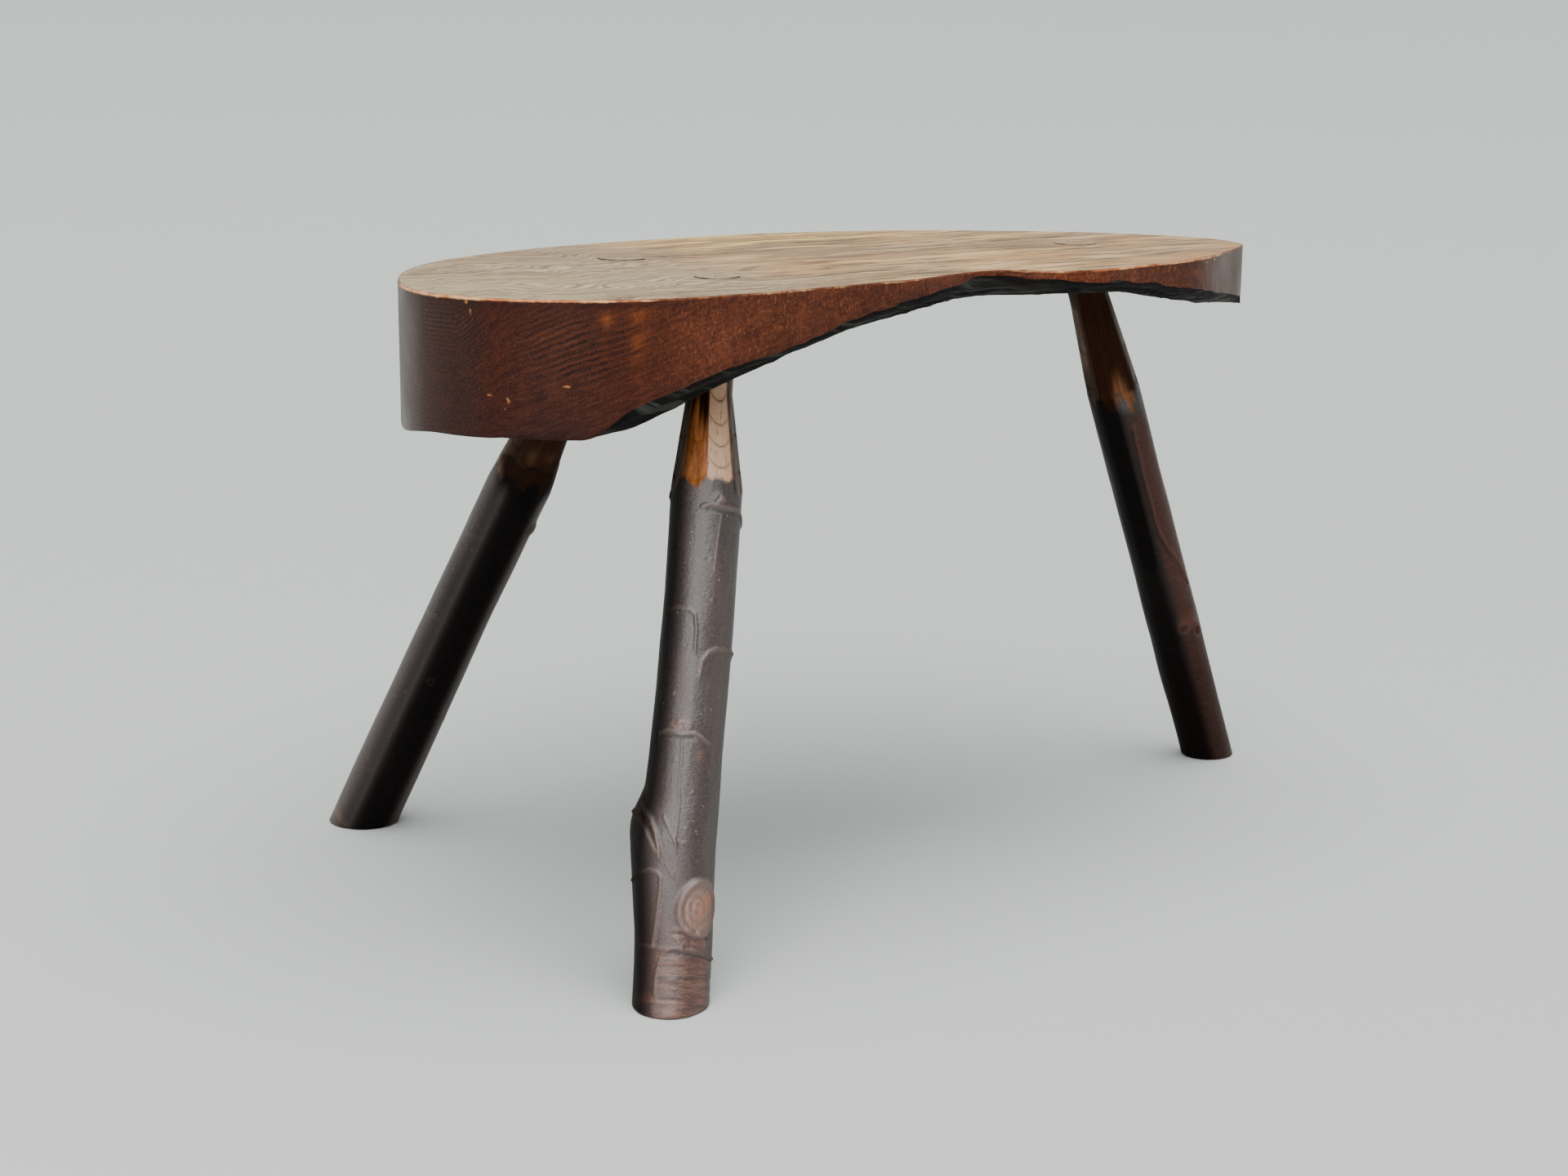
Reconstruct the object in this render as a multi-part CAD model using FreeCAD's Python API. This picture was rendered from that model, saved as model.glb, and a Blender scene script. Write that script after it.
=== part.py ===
import FreeCAD, Part
import math
import os

from FreeCAD import Vector

# A low three-legged table in millimetres. A thick slab of figured wood, sawn to a free outline and
# left with its natural underside, stands on three splayed poles. Each pole is whittled at its head
# to a round tenon that passes through the slab and is spread there by a wedge.
# Z is up, the floor is at Z = 0, X runs along the slab, and the origin is the middle of the
# table's footprint on the floor.

# The slab
table_height = 450.0
slab_length = 713.3
slab_width = 347.0
slab_thickness = 100.0
slab_centre_x = -41.0
slab_centre_y = -2.3
arris = 1.5
lip_width = 12.0

# The sawn outline seen from above, anticlockwise from the left end. Each point is a share of half
# the slab's length and of half its width. The bite near the middle of the front is where the
# natural edge reaches the top.
outline_shares = [
    (-1.000, -0.340), (-0.955, -0.600), (-0.870, -0.785), (-0.730, -0.945), (-0.560, -0.997),
    (-0.290, -0.960), (-0.050, -0.890), (0.100, -0.812), (0.165, -0.835), (0.230, -0.945),
    (0.305, -0.997), (0.450, -0.965), (0.650, -0.880), (0.850, -0.667), (0.970, -0.480),
    (1.000, -0.280), (0.955, 0.010), (0.825, 0.355), (0.640, 0.645), (0.420, 0.872),
    (0.175, 0.993), (-0.100, 0.994), (-0.380, 0.918), (-0.615, 0.757), (-0.810, 0.492),
    (-0.940, 0.120),
]

# The underside, as shares of the slab's thickness at places along half its length. The rim is
# where the sawn side ends, the lip is one lip width further in, and the core is at the core shares
# of the local width.
underside_place_shares = [
    -1.12, -0.82, -0.735, -0.60, -0.40, -0.20, -0.02, 0.145, 0.22, 0.40, 0.62, 0.80, 1.12,
]
front_rim_shares = [0.87, 0.89, 0.70, 0.52, 0.36, 0.19, 0.10, 0.03, 0.06, 0.10, 0.21, 0.31, 0.50]
front_lip_shares = [0.88, 0.90, 0.84, 0.64, 0.43, 0.27, 0.20, 0.16, 0.15, 0.17, 0.29, 0.39, 0.53]
front_core_shares = [0.88, 0.91, 0.88, 0.78, 0.63, 0.45, 0.34, 0.29, 0.26, 0.22, 0.30, 0.38, 0.53]
back_core_shares = [0.95, 0.95, 0.94, 0.88, 0.77, 0.62, 0.50, 0.42, 0.38, 0.33, 0.33, 0.38, 0.51]
back_lip_shares = [0.95, 0.95, 0.91, 0.84, 0.74, 0.61, 0.49, 0.42, 0.38, 0.34, 0.33, 0.38, 0.50]
back_rim_shares = [0.94, 0.90, 0.82, 0.74, 0.63, 0.50, 0.40, 0.33, 0.31, 0.28, 0.28, 0.33, 0.46]
core_width_shares = (0.30, 0.70)
lip_round_shares = [(-1.5, -1.6), (0.0, 0.0), (0.35, 0.55), (1.0, 1.0)]
last_rim_share = 0.93
underside_columns = 30
underside_bays = 6

# The joints between slab and poles
tenon_diameter = 31.0
mortise_clearance = 0.1
tenon_stand = 0.8
tenon_end_ease = 0.6
tenon_end_shares = [(0.0, 0.25), (0.5, 0.40), (1.0, 1.00)]
wedge_thickness = 3.6
wedge_tip = 0.8
wedge_depth = 26.0
facet_count = 8
pole_sections = 24
facet_growth_share = 0.93
facet_round_share = 1.03
foot_ease = 1.0
overrun = 30.0

# The three poles. A head's place is a share of half the slab's length and half its width from the
# slab's centre, and the splay is how far the foot stands out from under the head.
# The front pole is the thickest, with the swelling of a cut branch low on its left side.
front_head_shares = (-0.400, -0.440)
front_splay_x = -129.6
front_splay_y = -146.1
front_girth = 48.0
front_taper_top = 83.0
front_taper_length = 66.0
front_facet_heading = -123.0
front_wedge_heading = 58.0
front_swell_heading = 145.0
front_pole_shares = [
    (-0.060, 1.04, 0.00), (0.000, 1.04, 0.00), (0.075, 1.06, 0.015), (0.130, 1.10, 0.05),
    (0.175, 1.14, 0.08), (0.210, 1.17, 0.10), (0.240, 1.12, 0.07), (0.275, 1.05, 0.03),
    (0.340, 1.015, 0.01), (0.450, 1.00, -0.025), (0.560, 0.99, -0.045), (0.700, 1.00, -0.045),
    (0.900, 1.00, 0.000),
]

# The back left pole is straight and a little thicker at its foot.
back_left_head_shares = (-0.387, 0.336)
back_left_splay_x = -137.8
back_left_splay_y = 168.9
back_left_girth = 47.4
back_left_taper_top = 106.0
back_left_taper_length = 76.0
back_left_facet_heading = -98.0
back_left_wedge_heading = -32.0
back_left_swell_heading = 145.0
back_left_pole_shares = [
    (-0.060, 1.04, 0.00), (0.100, 1.04, 0.00), (0.250, 1.02, 0.00), (0.400, 0.995, 0.00),
    (0.550, 1.00, -0.02), (0.680, 1.005, -0.035), (0.900, 1.00, 0.00),
]

# The right pole is the thinnest, with two small knots a third of the way up.
right_head_shares = (0.652, -0.084)
right_splay_x = 182.6
right_splay_y = 12.1
right_girth = 42.4
right_taper_top = 48.0
right_taper_length = 84.0
right_facet_heading = -75.0
right_wedge_heading = 78.0
right_swell_heading = 145.0
right_pole_shares = [
    (-0.060, 1.01, 0.00), (0.080, 1.00, 0.00), (0.200, 1.025, 0.01), (0.275, 1.03, 0.00),
    (0.380, 1.005, 0.00), (0.540, 0.99, 0.00), (0.700, 1.00, 0.00), (0.950, 1.00, 0.00),
]


def flowing_value(place, places, values):
    """Value at a place on the smooth curve through the values, which never overshoots them."""
    steps = [b - a for a, b in zip(places, places[1:])]
    rises = [(b - a) / step for a, b, step in zip(values, values[1:], steps)]
    slopes = [rises[0]]
    for before, after in zip(rises, rises[1:]):
        level = before * after <= 0
        slopes.append(0 if level else 2 * before * after / (before + after))
    slopes.append(rises[-1])
    i = 0
    while i < len(steps) - 1 and place > places[i + 1]:
        i += 1
    t = (place - places[i]) / steps[i]
    start = (1 + 2 * t) * (1 - t) ** 2
    end = t * t * (3 - 2 * t)
    leave = t * (1 - t) ** 2 * steps[i]
    arrive = t * t * (t - 1) * steps[i]
    return start * values[i] + end * values[i + 1] + leave * slopes[i] + arrive * slopes[i + 1]


def outline_wire(height, inset):
    """The slab's outline at a height, drawn in by the inset square to itself."""
    half_length = slab_length / 2
    half_width = slab_width / 2
    points = []
    for along, across in outline_shares:
        x = slab_centre_x + along * half_length
        y = slab_centre_y + across * half_width
        points.append(Vector(x, y, height))
    reached = [0]
    for here, there in zip(points, points[1:] + points[:1]):
        reached.append(reached[-1] + there.distanceToPoint(here))
    curve = Part.BSplineCurve()
    curve.interpolate(points, PeriodicFlag=True, Parameters=reached)
    inner = []
    for point, place in zip(points, reached):
        forward = curve.tangent(place)[0]
        inner.append(point + Vector(-forward.y, forward.x, 0).normalize() * inset)
    curve.interpolate(inner, PeriodicFlag=True, Parameters=reached)
    return Part.Wire(curve.toShape())


def rims_at(face, x):
    """Y of the front and back rims where a straight cut at x crosses the outline."""
    near = Vector(x, slab_centre_y - slab_width, table_height - arris)
    far = Vector(x, slab_centre_y + slab_width, table_height - arris)
    crossing = face.common(Part.makeLine(near, far))
    ys = [vertex.Point.y for vertex in crossing.Vertexes]
    return min(ys), max(ys)


def underside_row(face, along):
    """Points of the underside across the slab at a share of half its length."""
    half_length = slab_length / 2
    held = max(-last_rim_share, min(last_rim_share, along))
    front, back = rims_at(face, slab_centre_x + held * half_length)
    x = slab_centre_x + along * half_length

    def depth(shares):
        return slab_thickness * flowing_value(along, underside_place_shares, shares)

    front_rim, front_lip = depth(front_rim_shares), depth(front_lip_shares)
    back_rim, back_lip = depth(back_rim_shares), depth(back_lip_shares)
    places = []
    for inward, sink in lip_round_shares:
        places.append((front + inward * lip_width, front_rim + sink * (front_lip - front_rim)))
    for share, shares in zip(core_width_shares, (front_core_shares, back_core_shares)):
        places.append((front + share * (back - front), depth(shares)))
    for inward, sink in reversed(lip_round_shares):
        places.append((back - inward * lip_width, back_rim + sink * (back_lip - back_rim)))
    return [Vector(x, y, table_height - sunk) for y, sunk in places]


def space_below(face):
    """The space under the slab's natural underside, in bays side by side along the slab."""
    first, last = underside_place_shares[0], underside_place_shares[-1]
    rows = []
    for column in range(underside_columns + 1):
        along = first + (last - first) * column / underside_columns
        rows.append(underside_row(face, along))
    surface = Part.BSplineSurface()
    surface.interpolate(rows)
    knots = surface.getUKnots()
    seams = [knots[bay * (len(knots) - 1) // underside_bays] for bay in range(underside_bays + 1)]
    bays = []
    for near, far in zip(seams, seams[1:]):
        bay = surface.copy()
        bay.segment(near, far, *surface.bounds()[2:])
        bays.append(bay.toShape().extrude(Vector(0, 0, -2 * slab_thickness)))
    return bays


def make_slab():
    """The slab with its sawn side, natural underside and eased top arris, before the mortises."""
    shoulder = table_height - arris
    lower = Part.Face(outline_wire(shoulder, 0))
    block = lower.extrude(Vector(0, 0, -slab_thickness - overrun))
    crown = Part.makeLoft([outline_wire(shoulder, 0), outline_wire(table_height, arris)], True, True)
    return block.fuse(crown).cut(space_below(lower))


class Pole:
    """A leg's line from the middle of its foot to the middle of its head on the slab's top."""

    def __init__(self, head_shares, splay_x, splay_y, girth, swell_heading, shares):
        head_x = slab_centre_x + head_shares[0] * slab_length / 2
        head_y = slab_centre_y + head_shares[1] * slab_width / 2
        self.head = Vector(head_x, head_y, table_height)
        self.foot = Vector(head_x + splay_x, head_y + splay_y, 0)
        self.length = self.head.distanceToPoint(self.foot)
        self.axis = (self.head - self.foot).normalize()
        self.girth = girth
        self.swell = self.across(swell_heading)
        self.places, self.widths, self.asides = zip(*shares)

    def place(self, distance):
        """Point of the line at a distance from the middle of the foot."""
        return self.foot + self.axis * distance

    def across(self, heading):
        """Unit vector square to the line, pointing to a compass heading in degrees from +X."""
        angle = math.radians(heading)
        flat = Vector(math.cos(angle), math.sin(angle), 0)
        return (flat - self.axis * flat.dot(self.axis)).normalize()

    def drift(self, along):
        """How far the grown pole wanders off its line at a share of its length."""
        return self.swell * (self.girth * flowing_value(along, self.places, self.asides))

    def radius(self, along):
        """Radius of the grown pole at a share of its length."""
        return self.girth * flowing_value(along, self.places, self.widths) / 2


def pole_shaft(pole):
    """The pole as it grew, a loft through round sections that swell and wander off its line."""
    rings = []
    for section in range(pole_sections + 1):
        along = pole.places[0] + (pole.places[-1] - pole.places[0]) * section / pole_sections
        centre = pole.place(along * pole.length) + pole.drift(along)
        rings.append(Part.Wire(Part.makeCircle(pole.radius(along), centre, pole.axis)))
    return Part.makeLoft(rings, True, False)


def facet_ring(pole, centre, apothem, heading):
    """Closed polygon square to the pole, with one corner towards the heading."""
    corner = apothem / math.cos(math.pi / facet_count)
    forward = pole.across(heading)
    sideways = pole.axis.cross(forward)
    points = []
    for index in range(facet_count + 1):
        turn = 2 * math.pi * index / facet_count
        spoke = forward * (corner * math.cos(turn)) + sideways * (corner * math.sin(turn))
        points.append(centre + spoke)
    points[-1] = points[0]
    return Part.makePolygon(points)


def whittled(pole, shaft, taper_top, taper_length, heading):
    """The shaft cut down to flat knife facets, run on narrowing inside the round tenon."""
    top = pole.length - taper_top
    shoulder = (top - taper_length) / pole.length
    slope = (pole.girth - tenon_diameter) / (2 * taper_length)
    stations = []
    for distance in (-overrun, top + overrun):
        below = top - distance
        centre = pole.place(distance) + pole.drift(shoulder) * (below / taper_length)
        stations.append((centre, slope * below))
    tenon_radius = tenon_diameter / 2
    rings = []
    for centre, growth in stations:
        rings.append(facet_ring(pole, centre, tenon_radius + facet_growth_share * growth, heading))
    facets = Part.makeLoft(rings, True, True)
    (start, wide), (end, narrow) = stations
    line = end - start
    base = tenon_radius + facet_round_share * wide
    tip = tenon_radius + facet_round_share * narrow
    cone = Part.makeCone(base, tip, line.Length, start, line)
    return shaft.common(facets).common(cone)


def tenon_rod(pole, taper_top):
    """The round tenon from inside the taper up past the slab's top face."""
    start = pole.place(pole.length - taper_top - overrun)
    return Part.makeCylinder(tenon_diameter / 2, taper_top + 2 * overrun, start, pole.axis)


def above_top():
    """Everything above the slab's top face."""
    size = 2 * slab_length
    corner = Vector(slab_centre_x - slab_length, slab_centre_y - slab_length, table_height)
    return Part.makeBox(size, size, slab_thickness, corner)


def tenon_end(pole):
    """The tenon's end, standing a little proud of the top and eased all round."""
    lean = Vector(pole.head.x - pole.foot.x, pole.head.y - pole.foot.y, 0).normalize()
    short = tenon_diameter / 2
    long = short / pole.axis.z
    rings = []
    for height_share, ease_share in tenon_end_shares:
        centre = pole.head + Vector(0, 0, height_share * tenon_stand)
        trim = ease_share * tenon_end_ease
        oval = Part.Ellipse(centre, long - trim, short - trim)
        oval.Axis = Vector(0, 0, 1)
        oval.XAxis = lean
        rings.append(Part.Wire(oval.toShape()))
    return Part.makeLoft(rings, True, True)


def wedge_space(pole, heading):
    """The tapering slot across the tenon's end that its wedge fills, run out past every side."""
    along = pole.across(heading)
    square = pole.axis.cross(along)
    growth = (wedge_thickness - wedge_tip) / (2 * wedge_depth)
    half_top = wedge_thickness / 2 + growth * overrun
    half_tip = wedge_tip / 2
    top = pole.place(pole.length + overrun) - along * tenon_diameter
    tip = pole.place(pole.length - wedge_depth) - along * tenon_diameter
    outline = [
        tip - square * half_tip,
        tip + square * half_tip,
        top + square * half_top,
        top - square * half_top,
        tip - square * half_tip,
    ]
    return Part.Face(Part.makePolygon(outline)).extrude(along * (2 * tenon_diameter))


def below_floor():
    """Everything under the floor."""
    size = 2 * slab_length
    corner = Vector(slab_centre_x - slab_length, slab_centre_y - slab_length, -slab_thickness)
    return Part.makeBox(size, size, slab_thickness, corner)


def stand_on_floor(leg):
    """The leg sawn off level with the floor, with the cut's edge eased."""
    cut = leg.cut(below_floor())
    sole = [edge for edge in cut.Edges if edge.BoundBox.ZMax < foot_ease / 2]
    return cut.makeChamfer(foot_ease, sole)


def make_leg(pole, taper_top, taper_length, facet_heading, wedge_heading):
    """One leg and its wedge: shaft, whittled taper, tenon and proud end, with the wedge's slot."""
    taper = whittled(pole, pole_shaft(pole), taper_top, taper_length, facet_heading)
    rod = tenon_rod(pole, taper_top)
    end = tenon_end(pole)
    space = wedge_space(pole, wedge_heading)
    leg = stand_on_floor(taper.fuse(rod).cut(above_top()).fuse(end)).cut(space)
    return leg, rod.cut(above_top()).fuse(end).common(space)


def mortise(pole):
    """The bored hole for one tenon, right through the slab."""
    radius = tenon_diameter / 2 + mortise_clearance
    start = pole.place(pole.length - 2 * slab_thickness)
    return Part.makeCylinder(radius, 2 * slab_thickness + overrun, start, pole.axis)


front_pole = Pole(
    front_head_shares, front_splay_x, front_splay_y,
    front_girth, front_swell_heading, front_pole_shares,
)
back_left_pole = Pole(
    back_left_head_shares, back_left_splay_x, back_left_splay_y,
    back_left_girth, back_left_swell_heading, back_left_pole_shares,
)
right_pole = Pole(
    right_head_shares, right_splay_x, right_splay_y,
    right_girth, right_swell_heading, right_pole_shares,
)

pieces = {}
pieces["front_leg"], pieces["front_wedge"] = make_leg(
    front_pole, front_taper_top, front_taper_length, front_facet_heading, front_wedge_heading,
)
pieces["back_left_leg"], pieces["back_left_wedge"] = make_leg(
    back_left_pole, back_left_taper_top, back_left_taper_length,
    back_left_facet_heading, back_left_wedge_heading,
)
pieces["right_leg"], pieces["right_wedge"] = make_leg(
    right_pole, right_taper_top, right_taper_length, right_facet_heading, right_wedge_heading,
)

slab = make_slab()
for pole in (front_pole, back_left_pole, right_pole):
    slab = slab.cut(mortise(pole))
pieces["slab_top"] = slab

os.makedirs("parts", exist_ok=True)
for name, shape in pieces.items():
    shape.Solids[0].exportStep("parts/" + name + ".step")
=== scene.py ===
import math

import bpy
import numpy as np
from mathutils import Matrix, Vector
from mathutils.geometry import delaunay_2d_cdt


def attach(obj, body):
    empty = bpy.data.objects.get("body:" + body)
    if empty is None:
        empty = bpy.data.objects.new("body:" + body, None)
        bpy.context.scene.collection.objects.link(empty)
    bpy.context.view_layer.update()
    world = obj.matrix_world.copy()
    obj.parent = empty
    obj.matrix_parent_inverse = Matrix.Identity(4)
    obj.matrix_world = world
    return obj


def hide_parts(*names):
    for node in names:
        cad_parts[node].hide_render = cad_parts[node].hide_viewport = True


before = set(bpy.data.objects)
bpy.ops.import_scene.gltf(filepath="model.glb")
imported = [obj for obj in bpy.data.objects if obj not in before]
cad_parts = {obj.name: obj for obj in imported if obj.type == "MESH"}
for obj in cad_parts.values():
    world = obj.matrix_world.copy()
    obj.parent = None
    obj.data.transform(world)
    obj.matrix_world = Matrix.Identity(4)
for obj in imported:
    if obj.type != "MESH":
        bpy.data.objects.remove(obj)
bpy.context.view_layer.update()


# The slab. One thick board of figured hardwood, sawn freehand to a rounded outline and oiled on its
# planed top. The trunk's own charred-looking surface is left underneath, and it climbs to the top
# at the bite in the front. Three slanting mortises are bored right through.
MM = 0.001
SLAB_MIDDLE = np.array([-41.0, -2.3])
SLAB_HALF = np.array([713.3, 347.0]) / 2
SLAB_DEPTH, TOP_HEIGHT = 100.0, 450.0
LIP, BAND = 12.0, 27.0
ARRIS_DEPTH, LEAST_DEPTH = 1.6, 3.2
SLAB_COLUMNS, SAW_ROWS, WANE_ROWS = 1120, 38, 34
OUTLINE = np.array([
    (-1.000, -0.340), (-0.955, -0.600), (-0.870, -0.785), (-0.730, -0.945), (-0.560, -0.997),
    (-0.290, -0.960), (-0.050, -0.890), (0.100, -0.812), (0.165, -0.835), (0.230, -0.945),
    (0.305, -0.997), (0.450, -0.965), (0.650, -0.880), (0.850, -0.667), (0.970, -0.480),
    (1.000, -0.280), (0.955, 0.010), (0.825, 0.355), (0.640, 0.645), (0.420, 0.872),
    (0.175, 0.993), (-0.100, 0.994), (-0.380, 0.918), (-0.615, 0.757), (-0.810, 0.492),
    (-0.940, 0.120),
])
# Depth of the underside in shares of the slab's, at places along it: the front's rim, lip and core,
# then the back's core, lip and rim.
UNDER_PLACES = [
    -1.12, -0.82, -0.735, -0.60, -0.40, -0.20, -0.02, 0.145, 0.22, 0.40, 0.62, 0.80, 1.12]
UNDER_SHARES = [
    [0.87, 0.89, 0.70, 0.52, 0.36, 0.19, 0.10, 0.03, 0.06, 0.10, 0.21, 0.31, 0.50],
    [0.88, 0.90, 0.84, 0.64, 0.43, 0.27, 0.20, 0.16, 0.15, 0.17, 0.29, 0.39, 0.53],
    [0.88, 0.91, 0.88, 0.78, 0.63, 0.45, 0.34, 0.29, 0.26, 0.22, 0.30, 0.38, 0.53],
    [0.95, 0.95, 0.94, 0.88, 0.77, 0.62, 0.50, 0.42, 0.38, 0.33, 0.33, 0.38, 0.51],
    [0.95, 0.95, 0.91, 0.84, 0.74, 0.61, 0.49, 0.42, 0.38, 0.34, 0.33, 0.38, 0.50],
    [0.94, 0.90, 0.82, 0.74, 0.63, 0.50, 0.40, 0.33, 0.31, 0.28, 0.28, 0.33, 0.46],
]


def eased(value, start, end):
    """S-shaped climb from 0 at the start to 1 at the end: 3t squared less 2t cubed."""
    t = np.clip((value - start) / (end - start), 0, 1)
    return t * t * (3 - 2 * t)


def within(value, rise, full, fade, end):
    """1 from full to fade: a climb from the rise to full, times 1 less a climb from fade to end."""
    return eased(value, rise, full) * (1 - eased(value, fade, end))


def bell(value, width=1.0, power=2):
    """Bell curve: e to the minus of the value over its width, raised to the power."""
    return np.exp(-(value / width) ** power)


def ripple(across, along, seed, cells=(64, 64)):
    """Smooth random height from -1 to 1: seeded values on a lattice that repeats after its cells,
    joined by an s-shaped ease in both directions."""
    values = np.random.default_rng(seed).uniform(-1, 1, cells)
    i, j = np.floor(across).astype(int), np.floor(along).astype(int)
    s, t = eased(across - i, 0, 1), eased(along - j, 0, 1)
    i, j, after, beyond = i % cells[0], j % cells[1], (i + 1) % cells[0], (j + 1) % cells[1]
    near = values[i, j] * (1 - s) + values[after, j] * s
    far = values[i, beyond] * (1 - s) + values[after, beyond] * s
    return near * (1 - t) + far * t


def flowing(place, places, values):
    """Cubic curve through the values at their places. Its slope at each is the harmonic mean of the
    two chords, or level at a turning point, so it never overshoots. Works on whole arrays."""
    steps = [b - a for a, b in zip(places, places[1:])]
    chords = [(b - a) / step for a, b, step in zip(values, values[1:], steps)]
    slopes = [chords[0]]
    for before, after in zip(chords, chords[1:]):
        product = before * after
        total = np.where(product > 0, before + after, 1.0)
        slopes.append(np.where(product > 0, 2 * product / total, 0.0))
    slopes.append(chords[-1])
    result = values[0] + 0 * place
    for k, step in enumerate(steps):
        t = (place - places[k]) / step
        curve = (1 + 2 * t) * (1 - t) ** 2 * values[k] + t * t * (3 - 2 * t) * values[k + 1]
        curve = curve + (t * (1 - t) ** 2 * slopes[k] + t * t * (t - 1) * slopes[k + 1]) * step
        beyond = place >= places[k] if k else place > -np.inf
        result = np.where(beyond, curve, result)
    return result


def sawn_outline(travel):
    """Closed cubic curve through the outline's points that keeps slope and bend from span to span.
    Takes distances round it and gives places, unit vectors that point inwards, and its length."""
    corners = SLAB_MIDDLE + OUTLINE * SLAB_HALF
    spans = np.linalg.norm(np.roll(corners, -1, 0) - corners, axis=1)
    before = np.roll(spans, 1)
    one = np.eye(len(spans))
    system = before[:, None] * np.roll(one, -1, 1) + spans[:, None] * np.roll(one, 1, 1)
    system += 2 * (before + spans)[:, None] * one
    chords = (np.roll(corners, -1, 0) - corners) / spans[:, None]
    bends = np.linalg.solve(system, 6 * (chords - np.roll(chords, 1, 0)))
    reached = np.concatenate([[0], np.cumsum(spans)])
    travel = travel % reached[-1]
    k = np.clip(np.searchsorted(reached, travel, "right") - 1, 0, len(spans) - 1)
    n, h, t = (k + 1) % len(spans), spans[k][:, None], (travel - reached[k])[:, None]
    start, end = corners[k] / h - bends[k] * h / 6, corners[n] / h - bends[n] * h / 6
    place = (bends[k] * (h - t) ** 3 + bends[n] * t ** 3) / (6 * h) + start * (h - t) + end * t
    slope = (bends[n] * t ** 2 - bends[k] * (h - t) ** 2) / (2 * h) + end - start
    slope /= np.linalg.norm(slope, axis=1)[:, None]
    return place, np.stack([-slope[:, 1], slope[:, 0]], -1), reached[-1]


around = np.arange(SLAB_COLUMNS) / SLAB_COLUMNS
girth = sawn_outline(np.zeros(1))[2]
travel = around * girth
rim, inward, _ = sawn_outline(travel)
left_end, right_end = rim[:, 0].argmin(), rim[:, 0].argmax()
ordered = np.roll(rim, -left_end, 0)
turning = (right_end - left_end) % SLAB_COLUMNS
front_rim, back_rim = ordered[:turning + 1], ordered[turning:][::-1]


def underside_depth(x, y):
    """How far below the top the natural underside lies. Across the slab it is a flowing curve
    through rim, lip and core depths, which themselves flow along the slab. Low ridges that run
    along the trunk are added away from the rims."""
    along = (x - SLAB_MIDDLE[0]) / SLAB_HALF[0]
    held = SLAB_MIDDLE[0] + np.clip(along, -0.93, 0.93) * SLAB_HALF[0]
    front = np.interp(held, front_rim[:, 0], front_rim[:, 1])
    back = np.interp(held, back_rim[:, 0], back_rim[:, 1])
    f_rim, f_lip, f_core, b_core, b_lip, b_rim = (
        SLAB_DEPTH * flowing(along, UNDER_PLACES, shares) for shares in UNDER_SHARES)
    width = back - front
    places = [front - 1.5 * LIP, front, front + 0.35 * LIP, front + LIP, front + 0.3 * width,
              back - 0.3 * width, back - LIP, back - 0.35 * LIP, back, back + 1.5 * LIP]
    depths = [f_rim - 1.6 * (f_lip - f_rim), f_rim, f_rim + 0.55 * (f_lip - f_rim), f_lip, f_core,
              b_core, b_lip, b_rim + 0.55 * (b_lip - b_rim), b_rim, b_rim - 1.6 * (b_lip - b_rim)]
    inside = eased(np.minimum(y - front, back - y), 6, 40) * (1 - eased(np.abs(along), 0.84, 0.95))
    ridges = 1.3 * ripple(y / 11, x / 60, 3) + 0.6 * ripple(y / 5, x / 25, 4)
    return flowing(y, places, depths) + inside * ridges


def shape_piece(name, places, faces, marks):
    """Mesh object from places in millimetres, lists of faces each with its material's number, and
    named values or vectors at the places. Faces are shaded smooth."""
    mesh = bpy.data.meshes.new(name)
    corners = [corner for rows, _ in faces for corner in rows.tolist()]
    mesh.from_pydata((places * MM).tolist(), [], corners)
    numbers = np.concatenate([np.full(len(rows), number) for rows, number in faces])
    mesh.polygons.foreach_set("material_index", numbers.astype(np.int32))
    mesh.polygons.foreach_set("use_smooth", np.ones(len(numbers), dtype=bool))
    for mark, values in marks.items():
        kind, field = ("FLOAT_VECTOR", "vector") if values.ndim == 2 else ("FLOAT", "value")
        layer = mesh.attributes.new(mark, kind, "POINT")
        layer.data.foreach_set(field, values.astype(np.float32).ravel())
    mesh.update()
    piece = bpy.data.objects.new(name, mesh)
    bpy.context.collection.objects.link(piece)
    return piece


def woven(first, rows, columns):
    """Four-cornered faces of a closed band, between neighbouring rows of numbered places."""
    row, column = np.meshgrid(np.arange(rows - 1), np.arange(columns), indexing="ij")
    here = first + row * columns + column
    beside = first + row * columns + (column + 1) % columns
    return np.stack([here, here + columns, beside + columns, beside], -1).reshape(-1, 4)


def encloses(ring, spots):
    """True for spots in a flat ring: a ray from one crosses the ring an odd number of times."""
    a, b = ring, np.roll(ring, -1, 0)
    above = (a[None, :, 1] > spots[:, 1:2]) != (b[None, :, 1] > spots[:, 1:2])
    rise = np.where(b[:, 1] == a[:, 1], 1, b[:, 1] - a[:, 1])
    reach = a[:, 0] + (spots[:, 1:2] - a[:, 1]) / rise * (b[:, 0] - a[:, 0])
    return (above & (spots[:, :1] < reach)).sum(1) % 2 == 1


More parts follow.
